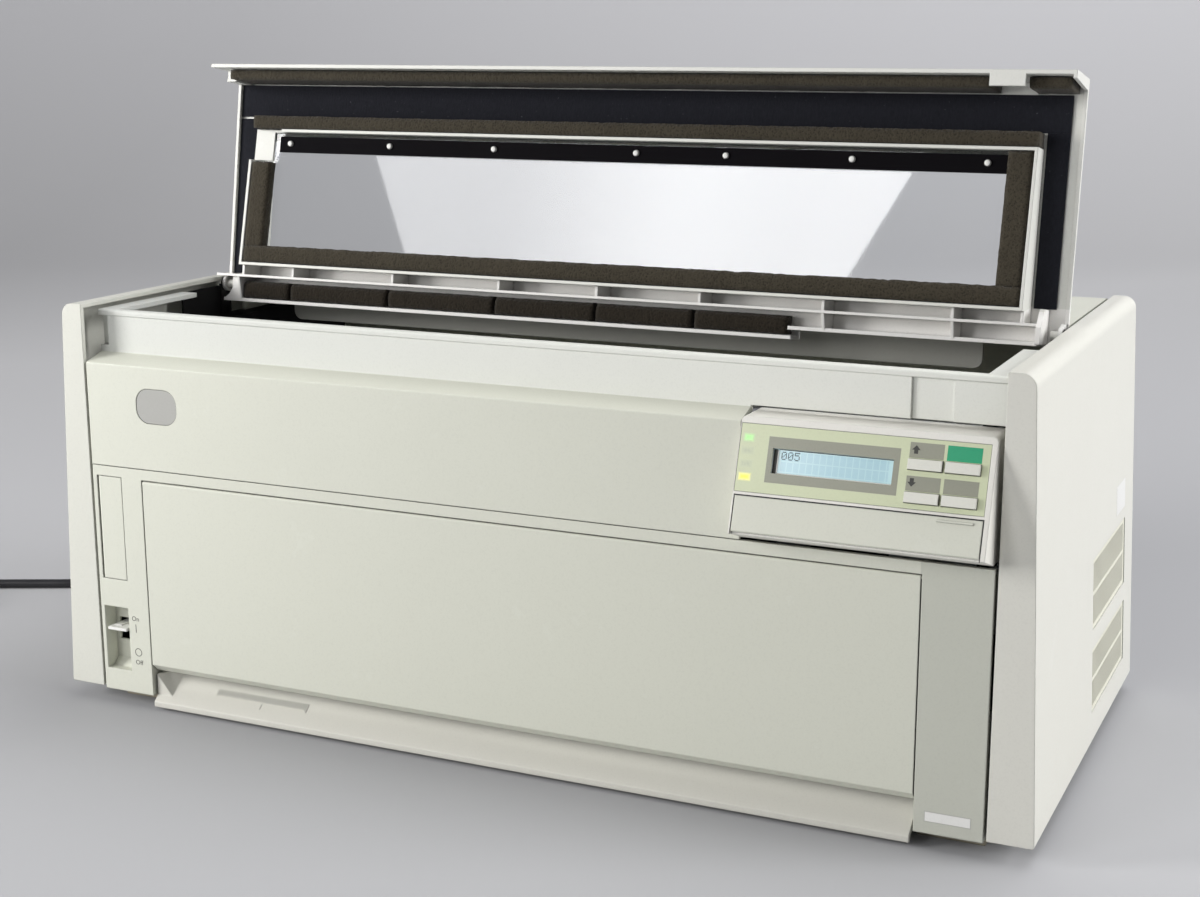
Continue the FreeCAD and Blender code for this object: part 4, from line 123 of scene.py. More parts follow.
class Nodes:
    """a small builder for node materials"""

    def __init__(self, name):
        self.mat = bpy.data.materials.new(name)
        self.mat.use_nodes = True
        self.tree = self.mat.node_tree
        self.bsdf = self.tree.nodes["Principled BSDF"]
        self.coord = self.add("ShaderNodeTexCoord").outputs["Object"]

    def add(self, kind, **sets):
        node = self.tree.nodes.new(kind)
        for key, value in sets.items():
            setattr(node, key, value)
        return node

    def link(self, a, b):
        self.tree.links.new(a, b)

    def noise(self, scale, detail=3.0, rough=0.55, stretch=None):
        node = self.add("ShaderNodeTexNoise")
        node.inputs["Scale"].default_value = scale
        node.inputs["Detail"].default_value = detail
        node.inputs["Roughness"].default_value = rough
        source = self.coord
        if stretch:
            mapping = self.add("ShaderNodeMapping")
            mapping.inputs["Scale"].default_value = stretch
            self.link(source, mapping.inputs["Vector"])
            source = mapping.outputs["Vector"]
        self.link(source, node.inputs["Vector"])
        return node.outputs["Fac"]

    def ramp(self, fac, stops):
        node = self.add("ShaderNodeValToRGB")
        ramp = node.color_ramp
        while len(ramp.elements) < len(stops):
            ramp.elements.new(0.5)
        for element, (place, color) in zip(ramp.elements, stops):
            element.position = place
            element.color = (*color, 1.0)
        self.link(fac, node.inputs["Fac"])
        return node.outputs["Color"]

    def mix(self, a, b, fac, blend="MIX"):
        node = self.add("ShaderNodeMix", data_type="RGBA", blend_type=blend)
        sockets = {s.identifier: s for s in node.inputs}
        self.set(sockets["Factor_Float"], fac)
        self.set(sockets["A_Color"], a)
        self.set(sockets["B_Color"], b)
        return {s.identifier: s for s in node.outputs}["Result_Color"]

    def set(self, socket, value):
        if isinstance(value, bpy.types.NodeSocket):
            self.link(value, socket)
        elif isinstance(value, tuple) and len(value) == 3:
            socket.default_value = (*value, 1.0)
        else:
            socket.default_value = value

    def map_range(self, value, low, high, start=0.0, end=1.0):
        """value, from start to end, as low to high"""
        node = self.add("ShaderNodeMapRange")
        node.inputs["From Min"].default_value = start
        node.inputs["From Max"].default_value = end
        node.inputs["To Min"].default_value = low
        node.inputs["To Max"].default_value = high
        self.link(value, node.inputs["Value"])
        return node.outputs["Result"]

    def math(self, op, a, b=0.0, c=0.0):
        node = self.add("ShaderNodeMath", operation=op)
        for socket, value in zip(node.inputs, (a, b, c)):
            if isinstance(value, bpy.types.NodeSocket):
                self.link(value, socket)
            else:
                socket.default_value = value
        return node.outputs[0]

    def dot(self, vector, origin):
        """how far the surface point lies from origin along vector"""
        shift = self.add("ShaderNodeVectorMath", operation="SUBTRACT")
        self.link(self.coord, shift.inputs[0])
        shift.inputs[1].default_value = origin
        node = self.add("ShaderNodeVectorMath", operation="DOT_PRODUCT")
        self.link(shift.outputs[0], node.inputs[0])
        node.inputs[1].default_value = vector
        return node.outputs["Value"]

    def clamp(self, value):
        return self.math("MINIMUM", self.math("MAXIMUM", value, 0.0), 1.0)

    def bump(self, height, strength, distance, below=None):
        node = self.add("ShaderNodeBump")
        node.inputs["Strength"].default_value = strength
        node.inputs["Distance"].default_value = distance
        self.link(height, node.inputs["Height"])
        if below is not None:
            self.link(below, node.inputs["Normal"])
        return node.outputs["Normal"]

    def bevel(self, radius):
        node = self.add("ShaderNodeBevel", samples=4)
        node.inputs["Radius"].default_value = radius
        return node.outputs["Normal"]


# A colour in two values blends from the first to the second over this stretch of x, in metres
BLEND_FROM, BLEND_OVER = -0.30, 0.45
# Painted shade in narrow seams: how far the occlusion looks for them, in metres, and the shade's tint
SEAM_SHADE_REACH, SEAM_SHADE_TINT = 0.0035, (0.16, 0.155, 0.15)


def plastic(name, color, rough, grain, radius, tone, dirt=0.0, grain_scale=1500.0, part=None,
            shine=0.42, shade_seams=True):
    """moulded plastic: fine spark-eroded grain, slow colour drift, handling marks in the gloss,
    painted shade in narrow seams. part gives a second colour, or a pair of them that blends across the
    object, and a function that picks where it is."""
    n = Nodes(name)
    dark = tuple(c * (1 - tone) for c in color)
    light = tuple(min(1.0, c * (1 + tone)) for c in color)
    yellow = (color[0] * (1 + tone * 0.4), color[1], color[2] * (1 - tone * 1.6))
    base = n.mix(dark, light, n.noise(7.0, 4.0))
    base = n.mix(base, yellow, n.map_range(n.noise(2.3, 2.0), 0.0, 0.9))
    if part:
        color_two, where = part
        if isinstance(color_two[0], tuple):
            across = n.math("DIVIDE", n.dot((1, 0, 0), (BLEND_FROM, 0, 0)), BLEND_OVER)
            color_two = n.mix(color_two[0], color_two[1], n.clamp(across))
        base = n.mix(base, color_two, where(n))
    speck = n.ramp(n.noise(900.0, 2.0), [(0.30, (0.93, 0.93, 0.93)), (0.5, (1, 1, 1))])
    base = n.mix(base, speck, 0.5, "MULTIPLY")
    if dirt:
        grime = n.ramp(n.noise(26.0, 6.0, 0.7), [(0.36, (1, 1, 1)), (0.30, (0.86, 0.84, 0.79))])
        base = n.mix(base, grime, dirt, "MULTIPLY")
    # painted shade: ambient occlusion darkens the colour in narrow seams and gaps
    if shade_seams:
        open_share = n.add("ShaderNodeAmbientOcclusion", samples=4)
        open_share.inputs["Distance"].default_value = SEAM_SHADE_REACH
        seam_shade = n.ramp(open_share.outputs["AO"], [(0.12, SEAM_SHADE_TINT), (0.50, (1, 1, 1))])
        base = n.mix(base, seam_shade, 1.0, "MULTIPLY")
    n.set(n.bsdf.inputs["Base Color"], base)
    n.set(n.bsdf.inputs["Roughness"], n.map_range(n.noise(34.0, 5.0, 0.65), rough - 0.06, rough + 0.09))
    n.bsdf.inputs["Specular IOR Level"].default_value = shine
    normal = n.bevel(radius) if radius else None
    coarse = n.bump(n.noise(grain_scale, 2.0, 0.6), grain * 3, 0.00008, normal)
    n.set(n.bsdf.inputs["Normal"], n.bump(n.noise(120.0, 2.0), grain, 0.0004, coarse))
    return n.mat


def metal(name, color, rough, brush, bump=0.06, metallic=1.0):
    """brushed metal; brush gives how fine its streaks are along x, y and z"""
    n = Nodes(name)
    streak = n.noise(1.0, 4.0, 0.6, stretch=brush)
    base = n.mix(tuple(c * 0.82 for c in color), tuple(min(1, c * 1.1) for c in color), streak)
    n.set(n.bsdf.inputs["Base Color"], base)
    n.bsdf.inputs["Metallic"].default_value = metallic
    n.set(n.bsdf.inputs["Roughness"], n.map_range(streak, rough - 0.08, rough + 0.12))
    n.set(n.bsdf.inputs["Normal"], n.bump(streak, bump, 0.0001, n.bevel(0.0004)))
    return n.mat


def beyond(n, axis, place):
    """1 where the surface lies past a place on an axis, in metres, and 0 elsewhere"""
    return n.math("GREATER_THAN", n.dot(axis, tuple(c * place for c in axis)), 0.0)


def below(n, z):
    return n.math("LESS_THAN", n.dot((0, 0, 1), (0, 0, z)), 0.0)


TAIL_FOAM_TOP, TAIL_PLATE_TOP = 0.276, 0.2815               # heights in the raised cover, in metres


def foam_material():
    """dark brown open-cell foam: round pits at two sizes, dusty crests, and painted shade along the tail"""
    n = Nodes("foam_open_cell")
    pits = n.add("ShaderNodeTexVoronoi", feature="F1")
    pits.inputs["Scale"].default_value = 620.0
    pits.inputs["Randomness"].default_value = 1.0
    n.link(n.coord, pits.inputs["Vector"])
    small = n.add("ShaderNodeTexVoronoi", feature="F1")
    small.inputs["Scale"].default_value = 1500.0
    n.link(n.coord, small.inputs["Vector"])
    depth = n.mix(pits.outputs["Distance"], small.outputs["Distance"], 0.4)
    drift = n.noise(38.0, 5.0, 0.6)
    crest = n.mix((0.044, 0.037, 0.026), (0.070, 0.060, 0.042), drift)
    base = n.mix((0.018, 0.015, 0.010), crest, n.ramp(depth, [(0.12, (0, 0, 0)), (0.5, (1, 1, 1))]))
    # painted shade: the foam low along the cover's tail is coloured darker
    base = n.mix(base, (0.50, 0.47, 0.47), below(n, TAIL_FOAM_TOP), "MULTIPLY")
    n.set(n.bsdf.inputs["Base Color"], base)
    n.bsdf.inputs["Roughness"].default_value = 0.95
    n.bsdf.inputs["Specular IOR Level"].default_value = 0.15
    n.bsdf.inputs["Sheen Weight"].default_value = 0.12
    n.set(n.bsdf.inputs["Normal"], n.bump(depth, 0.9, 0.0009, n.bump(drift, 0.5, 0.002)))
    return n.mat


def felt_material():
    """blue-black felt: lying fibres with a little lint"""
    n = Nodes("felt_fibres")
    fibre = n.noise(900.0, 4.0, 0.7, stretch=(1.0, 0.35, 0.35))
    cross = n.noise(1300.0, 3.0, 0.7)
    base = n.mix((0.0065, 0.007, 0.010), (0.020, 0.021, 0.028), fibre)
    lint = n.ramp(n.noise(520.0, 2.0), [(0.72, (0, 0, 0)), (0.76, (0.07, 0.07, 0.075))])
    base = n.mix(base, lint, 0.55, "ADD")
    n.set(n.bsdf.inputs["Base Color"], base)
    n.bsdf.inputs["Roughness"].default_value = 0.96
    n.bsdf.inputs["Specular IOR Level"].default_value = 0.1
    n.bsdf.inputs["Sheen Weight"].default_value = 0.10
    n.set(n.bsdf.inputs["Normal"], n.bump(cross, 0.7, 0.0004, n.bump(fibre, 0.6, 0.0006)))
    return n.mat


def rubber_material(name, color, rough):
    n = Nodes(name)
    fine = n.noise(800.0, 3.0)
    n.set(n.bsdf.inputs["Base Color"], n.mix(color, tuple(c * 1.7 for c in color), n.noise(40.0, 4.0)))
    n.set(n.bsdf.inputs["Roughness"], n.map_range(n.noise(60.0, 3.0), rough - 0.08, rough + 0.1))
    n.set(n.bsdf.inputs["Normal"], n.bump(fine, 0.12, 0.0002))
    return n.mat


def glass_material():
    """a clear sheet with faint waves, smears and hair scratches"""
    n = Nodes("window_clear_sheet")
    scratch = n.bump(n.noise(1.0, 3.0, 0.5, stretch=(90, 14, 600)), 0.0006, 0.00002)
    smear = n.noise(9.0, 4.0)
    n.set(n.bsdf.inputs["Base Color"], n.mix((0.93, 0.95, 0.965), (0.975, 0.98, 0.985), smear))
    n.bsdf.inputs["Transmission Weight"].default_value = 1.0
    n.bsdf.inputs["IOR"].default_value = 1.46
    n.set(n.bsdf.inputs["Roughness"], n.map_range(smear, 0.010, 0.028))
    n.set(n.bsdf.inputs["Normal"], n.bump(n.noise(2.2, 1.0), 0.02, 0.0006, scratch))
    return n.mat


def panel_axes(n):
    """distances across and down the operator panel, in millimetres"""
    u = n.math("MULTIPLY", n.dot((1, 0, 0), PANEL * MM), 1000.0)
    v = n.math("MULTIPLY", n.dot((0, -math.sin(LEAN), -math.cos(LEAN)), PANEL * MM), 1000.0)
    return u, v


def lcd_material():
    """a pale cyan display with two rows of empty character cells"""
    n = Nodes("display_cells")
    u, v = panel_axes(n)

    def grid(value, start, pitch, filled):
        place = n.math("FRACT", n.math("DIVIDE", n.math("SUBTRACT", value, start), pitch))
        return n.math("LESS_THAN", place, filled)

    mask = n.math("MULTIPLY", n.math("GREATER_THAN", u, CELLS_LEFT), n.math("LESS_THAN", u, CELLS_RIGHT))
    for part in (n.math("GREATER_THAN", v, CELLS_TOP),
                 grid(u, CELLS_LEFT, CELL_PITCH_U, 0.84), grid(v, CELLS_TOP, CELL_PITCH_V, 0.87),
                 grid(u, CELLS_LEFT, DOT_PITCH_U, 0.86), grid(v, CELLS_TOP, DOT_PITCH_V, 0.86)):
        mask = n.math("MULTIPLY", mask, part)
    ground = n.mix((0.40, 0.58, 0.63), (0.46, 0.63, 0.67), n.noise(60.0, 2.0))
    base = n.mix(ground, (0.32, 0.50, 0.58), n.math("MULTIPLY", mask, 0.75))
    n.set(n.bsdf.inputs["Base Color"], base)
    n.set(n.bsdf.inputs["Emission Color"], base)
    n.bsdf.inputs["Emission Strength"].default_value = 0.20
    n.bsdf.inputs["Roughness"].default_value = 0.12
    n.set(n.bsdf.inputs["Normal"], n.bump(n.noise(30.0), 0.02, 0.0002))
    return n.mat


def led_material():
    """four light windows: green lit, two dark, yellow lit, each brightest at its middle"""
    n = Nodes("status_light_windows")
    u, v = panel_axes(n)
    base, power = (0.36, 0.86, 0.20), 0.75
    shine = power
    for edge, color, next_power in ((15.4, (0.50, 0.56, 0.40), 0.0), (22.5, (0.50, 0.56, 0.40), 0.0),
                                    (29.7, (0.95, 0.86, 0.06), 1.0)):
        step = n.math("GREATER_THAN", v, edge)
        base = n.mix(base, color, step)
        shine = n.math("ADD", shine, n.math("MULTIPLY", step, next_power - power))
        power = next_power
    across = n.math("ABSOLUTE", n.math("DIVIDE", n.math("SUBTRACT", u, LIGHT_MIDDLE), 3.6))
    spread = n.math("SUBTRACT", 1.0, across)
    shine = n.math("MULTIPLY", shine, n.math("ADD", n.math("MULTIPLY", spread, 0.7), 0.3))
    n.set(n.bsdf.inputs["Base Color"], n.mix(base, (0.74, 0.78, 0.60), n.noise(500.0)))
    n.set(n.bsdf.inputs["Emission Color"], base)
    n.set(n.bsdf.inputs["Emission Strength"], shine)
    n.bsdf.inputs["Roughness"].default_value = 0.35
    return n.mat


def light_print_material():
    """the sheet over the four status lights: green lit, two unlit, yellow lit, with soft edges"""
    n = Nodes("status_light_print")
    u, v = panel_axes(n)
    sheet = n.mix((0.578, 0.622, 0.425), (0.592, 0.638, 0.435), n.noise(7.0, 4.0))
    base, glow = sheet, None
    unlit, soft_edge = (0.40, 0.44, 0.33), 2.2
    lights = [(2.3, 1.5, (0.36, 0.80, 0.26), 0.42), (2.9, 1.4, unlit, 0.0),
              (2.9, 1.4, unlit, 0.0), (2.9, 1.5, (0.98, 0.86, 0.07), 0.62)]
    uneven = n.noise(1.0, 2.0, 0.5, stretch=(900, 900, 500))
    bright = n.math("ADD", n.math("MULTIPLY", uneven, 1.4), 0.1)
    for i, (half_u, half_v, color, power) in enumerate(lights):
        across = n.math("ABSOLUTE", n.math("SUBTRACT", u, LIGHT_MIDDLE))
        down = n.math("ABSOLUTE", n.math("SUBTRACT", v, LIGHT_FIRST + LIGHT_PITCH * i))
        away = n.math("MAXIMUM", n.math("SUBTRACT", across, half_u), n.math("SUBTRACT", down, half_v))
        mask = n.clamp(n.math("SUBTRACT", 0.5, n.math("DIVIDE", away, soft_edge)))
        if power:
            base = n.mix(base, color, mask)
            share = n.math("MULTIPLY", n.math("MULTIPLY", mask, power), bright)
            glow = share if glow is None else n.math("ADD", glow, share)
        else:
            base = n.mix(base, color, n.math("MULTIPLY", mask, n.math("MULTIPLY", uneven, 0.9)))
    n.set(n.bsdf.inputs["Base Color"], base)
    n.set(n.bsdf.inputs["Emission Color"], base)
    n.set(n.bsdf.inputs["Emission Strength"], glow)
    n.bsdf.inputs["Roughness"].default_value = 0.30
    n.set(n.bsdf.inputs["Normal"], n.bump(n.noise(2600.0, 2.0, 0.6), 0.08, 0.00008))
    return n.mat


def board_material():
    """a green circuit board: a grid of tracks with dark components"""
    n = Nodes("circuit_board_green")
    bricks = n.add("ShaderNodeTexBrick")
    bricks.inputs["Scale"].default_value = 90.0
    bricks.inputs["Mortar Size"].default_value = 0.035
    bricks.inputs["Color1"].default_value = (0.012, 0.085, 0.040, 1)
    bricks.inputs["Color2"].default_value = (0.016, 0.105, 0.050, 1)
    bricks.inputs["Mortar"].default_value = (0.05, 0.17, 0.08, 1)
    n.link(n.coord, bricks.inputs["Vector"])
    components = n.ramp(n.noise(22.0, 1.0), [(0.60, (0, 0, 0)), (0.62, (1, 1, 1))])
    n.set(n.bsdf.inputs["Base Color"], n.mix(bricks.outputs["Color"], (0.02, 0.02, 0.02), components))
    n.bsdf.inputs["Roughness"].default_value = 0.35
    n.set(n.bsdf.inputs["Normal"], n.bump(bricks.outputs["Fac"], 0.3, 0.0002))
    return n.mat


CASING = (0.640, 0.652, 0.580)
BAND_SHADED_LEFT, BAND_LIT_RIGHT = (0.635, 0.648, 0.615), (0.765, 0.775, 0.725)    # painted light on the band above the ledge: shaded at the left, lit at the right
CASING_FINISH = (0.44, 0.06, 0.0010, 0.022, 0.1)                     # rough, grain, radius, tone, dirt


def above_the_ledge(n):
    """the recessed band and the rim, which carry painted shade at the left and painted light towards the
    right
    """
    return beyond(n, (0, 0, 1), 0.2388)


def outer_post(n):
    """the upright post that carries each white hinge pin"""
    return n.math("GREATER_THAN", n.math("ABSOLUTE", n.dot((1, 0, 0), (0, 0, 0))), 0.29945)


def rear_face(n):
    """the tray's outer rear face, coated in the casing's colour"""
    return beyond(n, (0, 1, 0), 0.1512)


def shaded_right_pillar(n):
    """the pillar right of the front door, coloured darker as painted shade"""
    return beyond(n, (1, 0, 0), 0.2595)


def tail_plate_painted_light(n):
    """the plate between the ribs of the raised cover, coloured paler as painted light"""
    return below(n, TAIL_PLATE_TOP)


MATERIALS = {
    "casing": plastic("casing_plastic", CASING, *CASING_FINISH),
    # painted light: the band and rim above the ledge blend from a shaded colour at the left to a lit one at
    # the right
    "fascia": plastic("upper_fascia_plastic", CASING, *CASING_FINISH,
                      part=((BAND_SHADED_LEFT, BAND_LIT_RIGHT), above_the_ledge)),
    # painted light: the plate between the cover's ribs is coloured paler than the rest of the cover
    "cover": plastic("cover_plastic", (0.735, 0.740, 0.705), 0.42, 0.05, 0.0008, 0.015, 0.12,
                     part=((0.860, 0.850, 0.830), tail_plate_painted_light)),
    "ramp": plastic("paper_ramp_plastic", (0.620, 0.615, 0.570), *CASING_FINISH),
    "left": plastic("left_panel_plastic", (0.635, 0.640, 0.590), *CASING_FINISH),
    "pin": plastic("hinge_pin_plastic", (0.78, 0.78, 0.74), 0.35, 0.03, 0.0004, 0.02,
                   part=((0.012, 0.012, 0.013), outer_post)),
    "dark": plastic("black_painted_steel", (0.0065, 0.0065, 0.007), 0.6, 0.06, 0.0005, 0.08,
                    part=((0.470, 0.468, 0.420), rear_face), shine=0.10),
    # painted light: the right side panel is coloured paler than the left panel and the casing
    "right": plastic("right_panel_plastic_painted_light", (0.700, 0.698, 0.652), *CASING_FINISH),
    # painted shade: the pillar right of the front door is coloured darker than the rest of the lower fascia
    "frame": plastic("lower_fascia_plastic", CASING, *CASING_FINISH,
                     part=((0.535, 0.545, 0.480), shaded_right_pillar)),
    "housing": plastic("operator_housing_plastic", (0.770, 0.760, 0.720), 0.42, 0.05, 0.0010, 0.02, 0.1),
    "inner": plastic("inner_casing_plastic", (0.560, 0.550, 0.480), 0.55, 0.05, 0.0006, 0.03, 0.35),
    "white": plastic("white_plastic", (0.80, 0.80, 0.775), 0.32, 0.02, 0.0005, 0.015),
    "key": plastic("key_plastic", (0.70, 0.70, 0.64), 0.36, 0.03, 0.0006, 0.015),
    "black": plastic("black_plastic", (0.012, 0.012, 0.013), 0.38, 0.08, 0.0005, 0.08),
    "strip": plastic("retainer_strip_black", (0.0045, 0.0040, 0.0055), 0.75, 0.05, 0.0004, 0.08,
                     shine=0.05),
    "grey": plastic("grey_plastic", (0.150, 0.152, 0.148), 0.50, 0.05, 0.0006, 0.05, 0.2),
    "guide": plastic("paper_deflector_grey", (0.305, 0.305, 0.285), 0.42, 0.03, 0.0007, 0.04),
    # painted light: the grille is coloured paler than the casing to make up for the shade in its slots, and
    # it has no painted seam shade
    "grille": plastic("grille_plastic_painted_light", (0.74, 0.735, 0.63), 0.5, 0.05, 0.0, 0.02, shade_seams=False),
    "badge": plastic("badge_plate_grey", (0.40, 0.40, 0.385), 0.30, 0.02, 0.0003, 0.03),
    "overlay": plastic("overlay_sheet", (0.585, 0.630, 0.430), 0.30, 0.025, 0.0, 0.012, 0.0, 2600.0),
    "print_grey": plastic("overlay_print_grey", (0.285, 0.290, 0.235), 0.32, 0.02, 0.0, 0.02),
    "print_green": plastic("overlay_print_green", (0.018, 0.330, 0.165), 0.30, 0.02, 0.0, 0.02),
    "ink": plastic("printed_ink", (0.045, 0.045, 0.042), 0.45, 0.02, 0.0, 0.05),
    "mark": plastic("printed_mark_grey", (0.105, 0.105, 0.095), 0.45, 0.02, 0.0, 0.05),
    "label": plastic("bare_label", (0.800, 0.800, 0.780), 0.30, 0.02, 0.0002, 0.01),
    "label_edge": plastic("bare_label_edge", (0.46, 0.46, 0.43), 0.35, 0.02, 0.0, 0.01),
    "segment": plastic("display_segment", (0.040, 0.075, 0.100), 0.30, 0.0, 0.0, 0.02),
    "foot": plastic("foot_plastic", (0.40, 0.37, 0.30), 0.6, 0.08, 0.0008, 0.04, 0.4),
    "foam": foam_material(),
    "felt": felt_material(),
    "glass": glass_material(),
    "lcd": lcd_material(),
    "led": led_material(),
    "board": board_material(),
    "light_print": light_print_material(),
    "steel": metal("sheet_steel", (0.46, 0.47, 0.48), 0.34, (9, 9, 260)),
    "bright": metal("ground_steel", (0.70, 0.71, 0.73), 0.20, (500, 12, 12), 0.03),
    "head": metal("print_head_metal", (0.09, 0.09, 0.095), 0.42, (60, 60, 60), 0.1),
    "motor": metal("motor_can", (0.055, 0.055, 0.06), 0.36, (40, 300, 40), 0.05, 0.6),
    "roller": rubber_material("roller_rubber", (0.020, 0.020, 0.021), 0.62),
    "belt": rubber_material("belt_rubber", (0.015, 0.015, 0.015), 0.7),
    "cord": rubber_material("cable_sheath", (0.0095, 0.0095, 0.011), 0.40),
}

PAINT = {
    "left": "left_side_panel",
    "right": "right_side_panel",
    "casing": "front_door access_door rear_cover panel_flap",
    "frame": "front_lower_frame",
    "housing": "operator_housing",
    "ramp": "paper_ramp",
    "fascia": "front_upper_fascia",
    "cover": "cover_shell",
    "inner": "rear_paper_guide",
    "foot": "feet",
    "white": "power_lever feed_drive_gear",
    "pin": "cover_hinge_pins",
    "dark": "side_frames base_tray",
    "key": "key_upper_left key_upper_right key_lower_left key_lower_right",
    "strip": "window_retainer",
    "black": "power_switch_body carriage ribbon_cassette left_tractor right_tractor fan_housing"
             " fan_rotor mains_inlet",
    "grey": "drive_pulley idler_pulley",
    "guide": "paper_deflector",
    "grille": "side_vent_grilles",
    "badge": "badge_plate",
    "overlay": "panel_overlay",
    "lcd": "lcd_screen",
    "led": "status_leds",
    "board": "panel_board logic_board",
    "glass": "cover_window",
    "steel": "platen_bar power_supply",
    "bright": "guide_rods tractor_shaft",
    "head": "print_head",
    "motor": "drive_motors",
    "roller": "front_feed_roller rear_feed_roller",
    "belt": "carriage_belt",
    "cord": "cord_connector mains_plug",
    "foam": "skirt_foam window_foam tail_foam",
    "felt": "cover_felt",
}
for key, names in PAINT.items():
    for name in names.split():
        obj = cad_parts[name]
        obj.data.materials.clear()
        obj.data.materials.append(MATERIALS[key])


# Mesh helpers

def piece(name, verts, faces, body, materials, smooth=False, indices=None):
    """a mesh that rides on a body; indices gives each face's place in materials"""
    mesh = bpy.data.meshes.new(name)
    mesh.from_pydata([tuple(v) for v in verts], [], faces)
    for key in materials:
        mesh.materials.append(MATERIALS[key])
    for i, polygon in enumerate(mesh.polygons):
        polygon.use_smooth = smooth
        if indices:
            polygon.material_index = indices[i]
    mesh.validate()
    mesh.update()
    obj = bpy.data.objects.new(name, mesh)
    scene.collection.objects.link(obj)
    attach(obj, body)
    return obj


def slab(points, place, low, high):
    """a flat outline as a closed plate between two heights"""
    count = len(points)
    verts = [place(u, v, low) for u, v in points] + [place(u, v, high) for u, v in points]
    faces = [tuple(range(count, 2 * count)), tuple(reversed(range(count)))]
    faces += [(i, (i + 1) % count, count + (i + 1) % count, count + i) for i in range(count)]
    return verts, faces


def slabs(name, outlines, place, low, high, materials):
    """several plates of the machine in one piece; outlines is a list of (points, material index)"""
    verts, faces, indices = [], [], []
    for points, index in outlines:
        v, f = slab(points, place, low, high)
        base = len(verts)
        verts += v
        faces += [tuple(i + base for i in face) for face in f]
        indices += [index] * len(f)
    return piece(name, verts, faces, "machine", materials, indices=indices)


def rect(u0, u1, v0, v1):
    return [(u0, v0), (u1, v0), (u1, v1), (u0, v1)]


WORN_DEPTH, WORN_OVER, INSET = 0.6, 0.9, 0.2                # how a foam strip's edges are worn
COARSE, FINE = 0.16, 0.71                                   # lumps per millimetre, at two sizes


def soft_block(name, x, s, h, cell, rough, nibble=0.0, seed=0):
    """a foam strip: a fine closed grid whose faces are uneven and whose edges are worn round.
    x and s are ranges, h gives the two heights at a place s, all in the raised cover's millimetres.
    rough is how uneven the faces are, and nibble how far the far edge is eaten away."""
    counts = [max(2, int(abs(x[1] - x[0]) / cell)), max(2, int(abs(s[1] - s[0]) / cell)), 3]
    verts, index, faces = [], {}, []

    def vert(i, j, k):
        key = (i, j, k)
        if key not in index:
            a, b, c = i / counts[0], j / counts[1], k / counts[2]
            px = x[0] + (x[1] - x[0]) * a
            ps = s[0] + (s[1] - s[0]) * b
            low, high = h(ps)
            ph = low + (high - low) * c
            edge_x = min(px - x[0], x[1] - px)
            edge_s = min(ps - s[0], s[1] - ps)
            drop = WORN_DEPTH * (math.exp(-edge_x / WORN_OVER) + math.exp(-edge_s / WORN_OVER))
            coarse = Vector((px * COARSE + seed, ps * COARSE, ph * COARSE))
            fine = Vector((px * FINE, ps * FINE + seed, ph * FINE))
            wob = noise.noise_vector(coarse) * rough + noise.noise_vector(fine) * rough * 0.8
            px += wob.x * 0.5 + (INSET if i == 0 else -INSET if i == counts[0] else 0)
            ps += wob.y * 0.5 + (INSET if j == 0 else -INSET if j == counts[1] else 0)
            if j == counts[1] and nibble:
                ps -= nibble * max(0.0, noise.noise(Vector((px * 1.3, seed, 3.0))) + 0.1)
            if k == counts[2]:
                ph += drop + abs(wob.z) * 0.7
            index[key] = len(verts)
            verts.append(cov(px, ps, ph))
        return index[key]

    n0, n1, n2 = counts
    for i in range(n0):
        for j in range(n1):
            faces.append((vert(i, j, 0), vert(i, j + 1, 0), vert(i + 1, j + 1, 0), vert(i + 1, j, 0)))
            faces.append((vert(i, j, n2), vert(i + 1, j, n2), vert(i + 1, j + 1, n2), vert(i, j + 1, n2)))
    for i in range(n0):
        for k in range(n2):
            faces.append((vert(i, 0, k), vert(i + 1, 0, k), vert(i + 1, 0, k + 1), vert(i, 0, k + 1)))
            faces.append((vert(i, n1, k), vert(i, n1, k + 1), vert(i + 1, n1, k + 1), vert(i + 1, n1, k)))
    for j in range(n1):
        for k in range(n2):
            faces.append((vert(0, j, k), vert(0, j, k + 1), vert(0, j + 1, k + 1), vert(0, j + 1, k)))
            faces.append((vert(n0, j, k), vert(n0, j + 1, k), vert(n0, j + 1, k + 1), vert(n0, j, k + 1)))
    obj = piece(name, verts, faces, "top_cover", ["foam"], smooth=True)
    return obj


# Foam and felt of the cover

def make_foam():
    def on_rim(s):
        return rim(s, 7.6), rim(s)

    def along_rim(s):
        return COVER_SKIN, -9.4

    def in_skirt(s):
        return COVER_SKIN, -21.4

    def on_tail(s):
        return 1.9, -7.9 + 2.0 * max(0.0, (s - 0.5) / 2.0)

    cell, skirt_cell, half_gap = 2.6, 3.2, 0.8
    low = soft_block("window_foam_low", (-275.0, 275.0), (15.9, 28.0), on_rim, cell, 0.5, 1.3, seed=1)
    soft_block("window_foam_left", (-275.0, -259.8), (26.8, 87.0), on_rim, cell, 0.5, 0.8, seed=2)
    soft_block("window_foam_right", (259.8, 275.0), (26.8, 107.6), on_rim, cell, 0.5, seed=3)
    soft_block("window_foam_top", (-277.3, 277.3), (110.4, 119.5), along_rim, cell, 0.45, 0.4, seed=4)
    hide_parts("window_foam")
    long = soft_block("skirt_foam_long", (-290.4, 249.6), (142.9, 149.5), in_skirt, skirt_cell, 0.4, seed=5)
    soft_block("skirt_foam_short", (271.4, 295.9), (142.9, 149.5), in_skirt, skirt_cell, 0.4, seed=6)
    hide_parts("skirt_foam")
    splits = (-280.0, -240.5, -160.5, -77.5, -3.0, 66.5, 131.1)
    for i in range(len(splits) - 1):
        block = (splits[i] + half_gap, splits[i + 1] - half_gap)
        obj = soft_block("tail_foam_%d" % (i + 1), block, (-9.7, 2.4), on_tail, cell, 0.6, seed=10 + i)
        if i == 0:
            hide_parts("tail_foam")


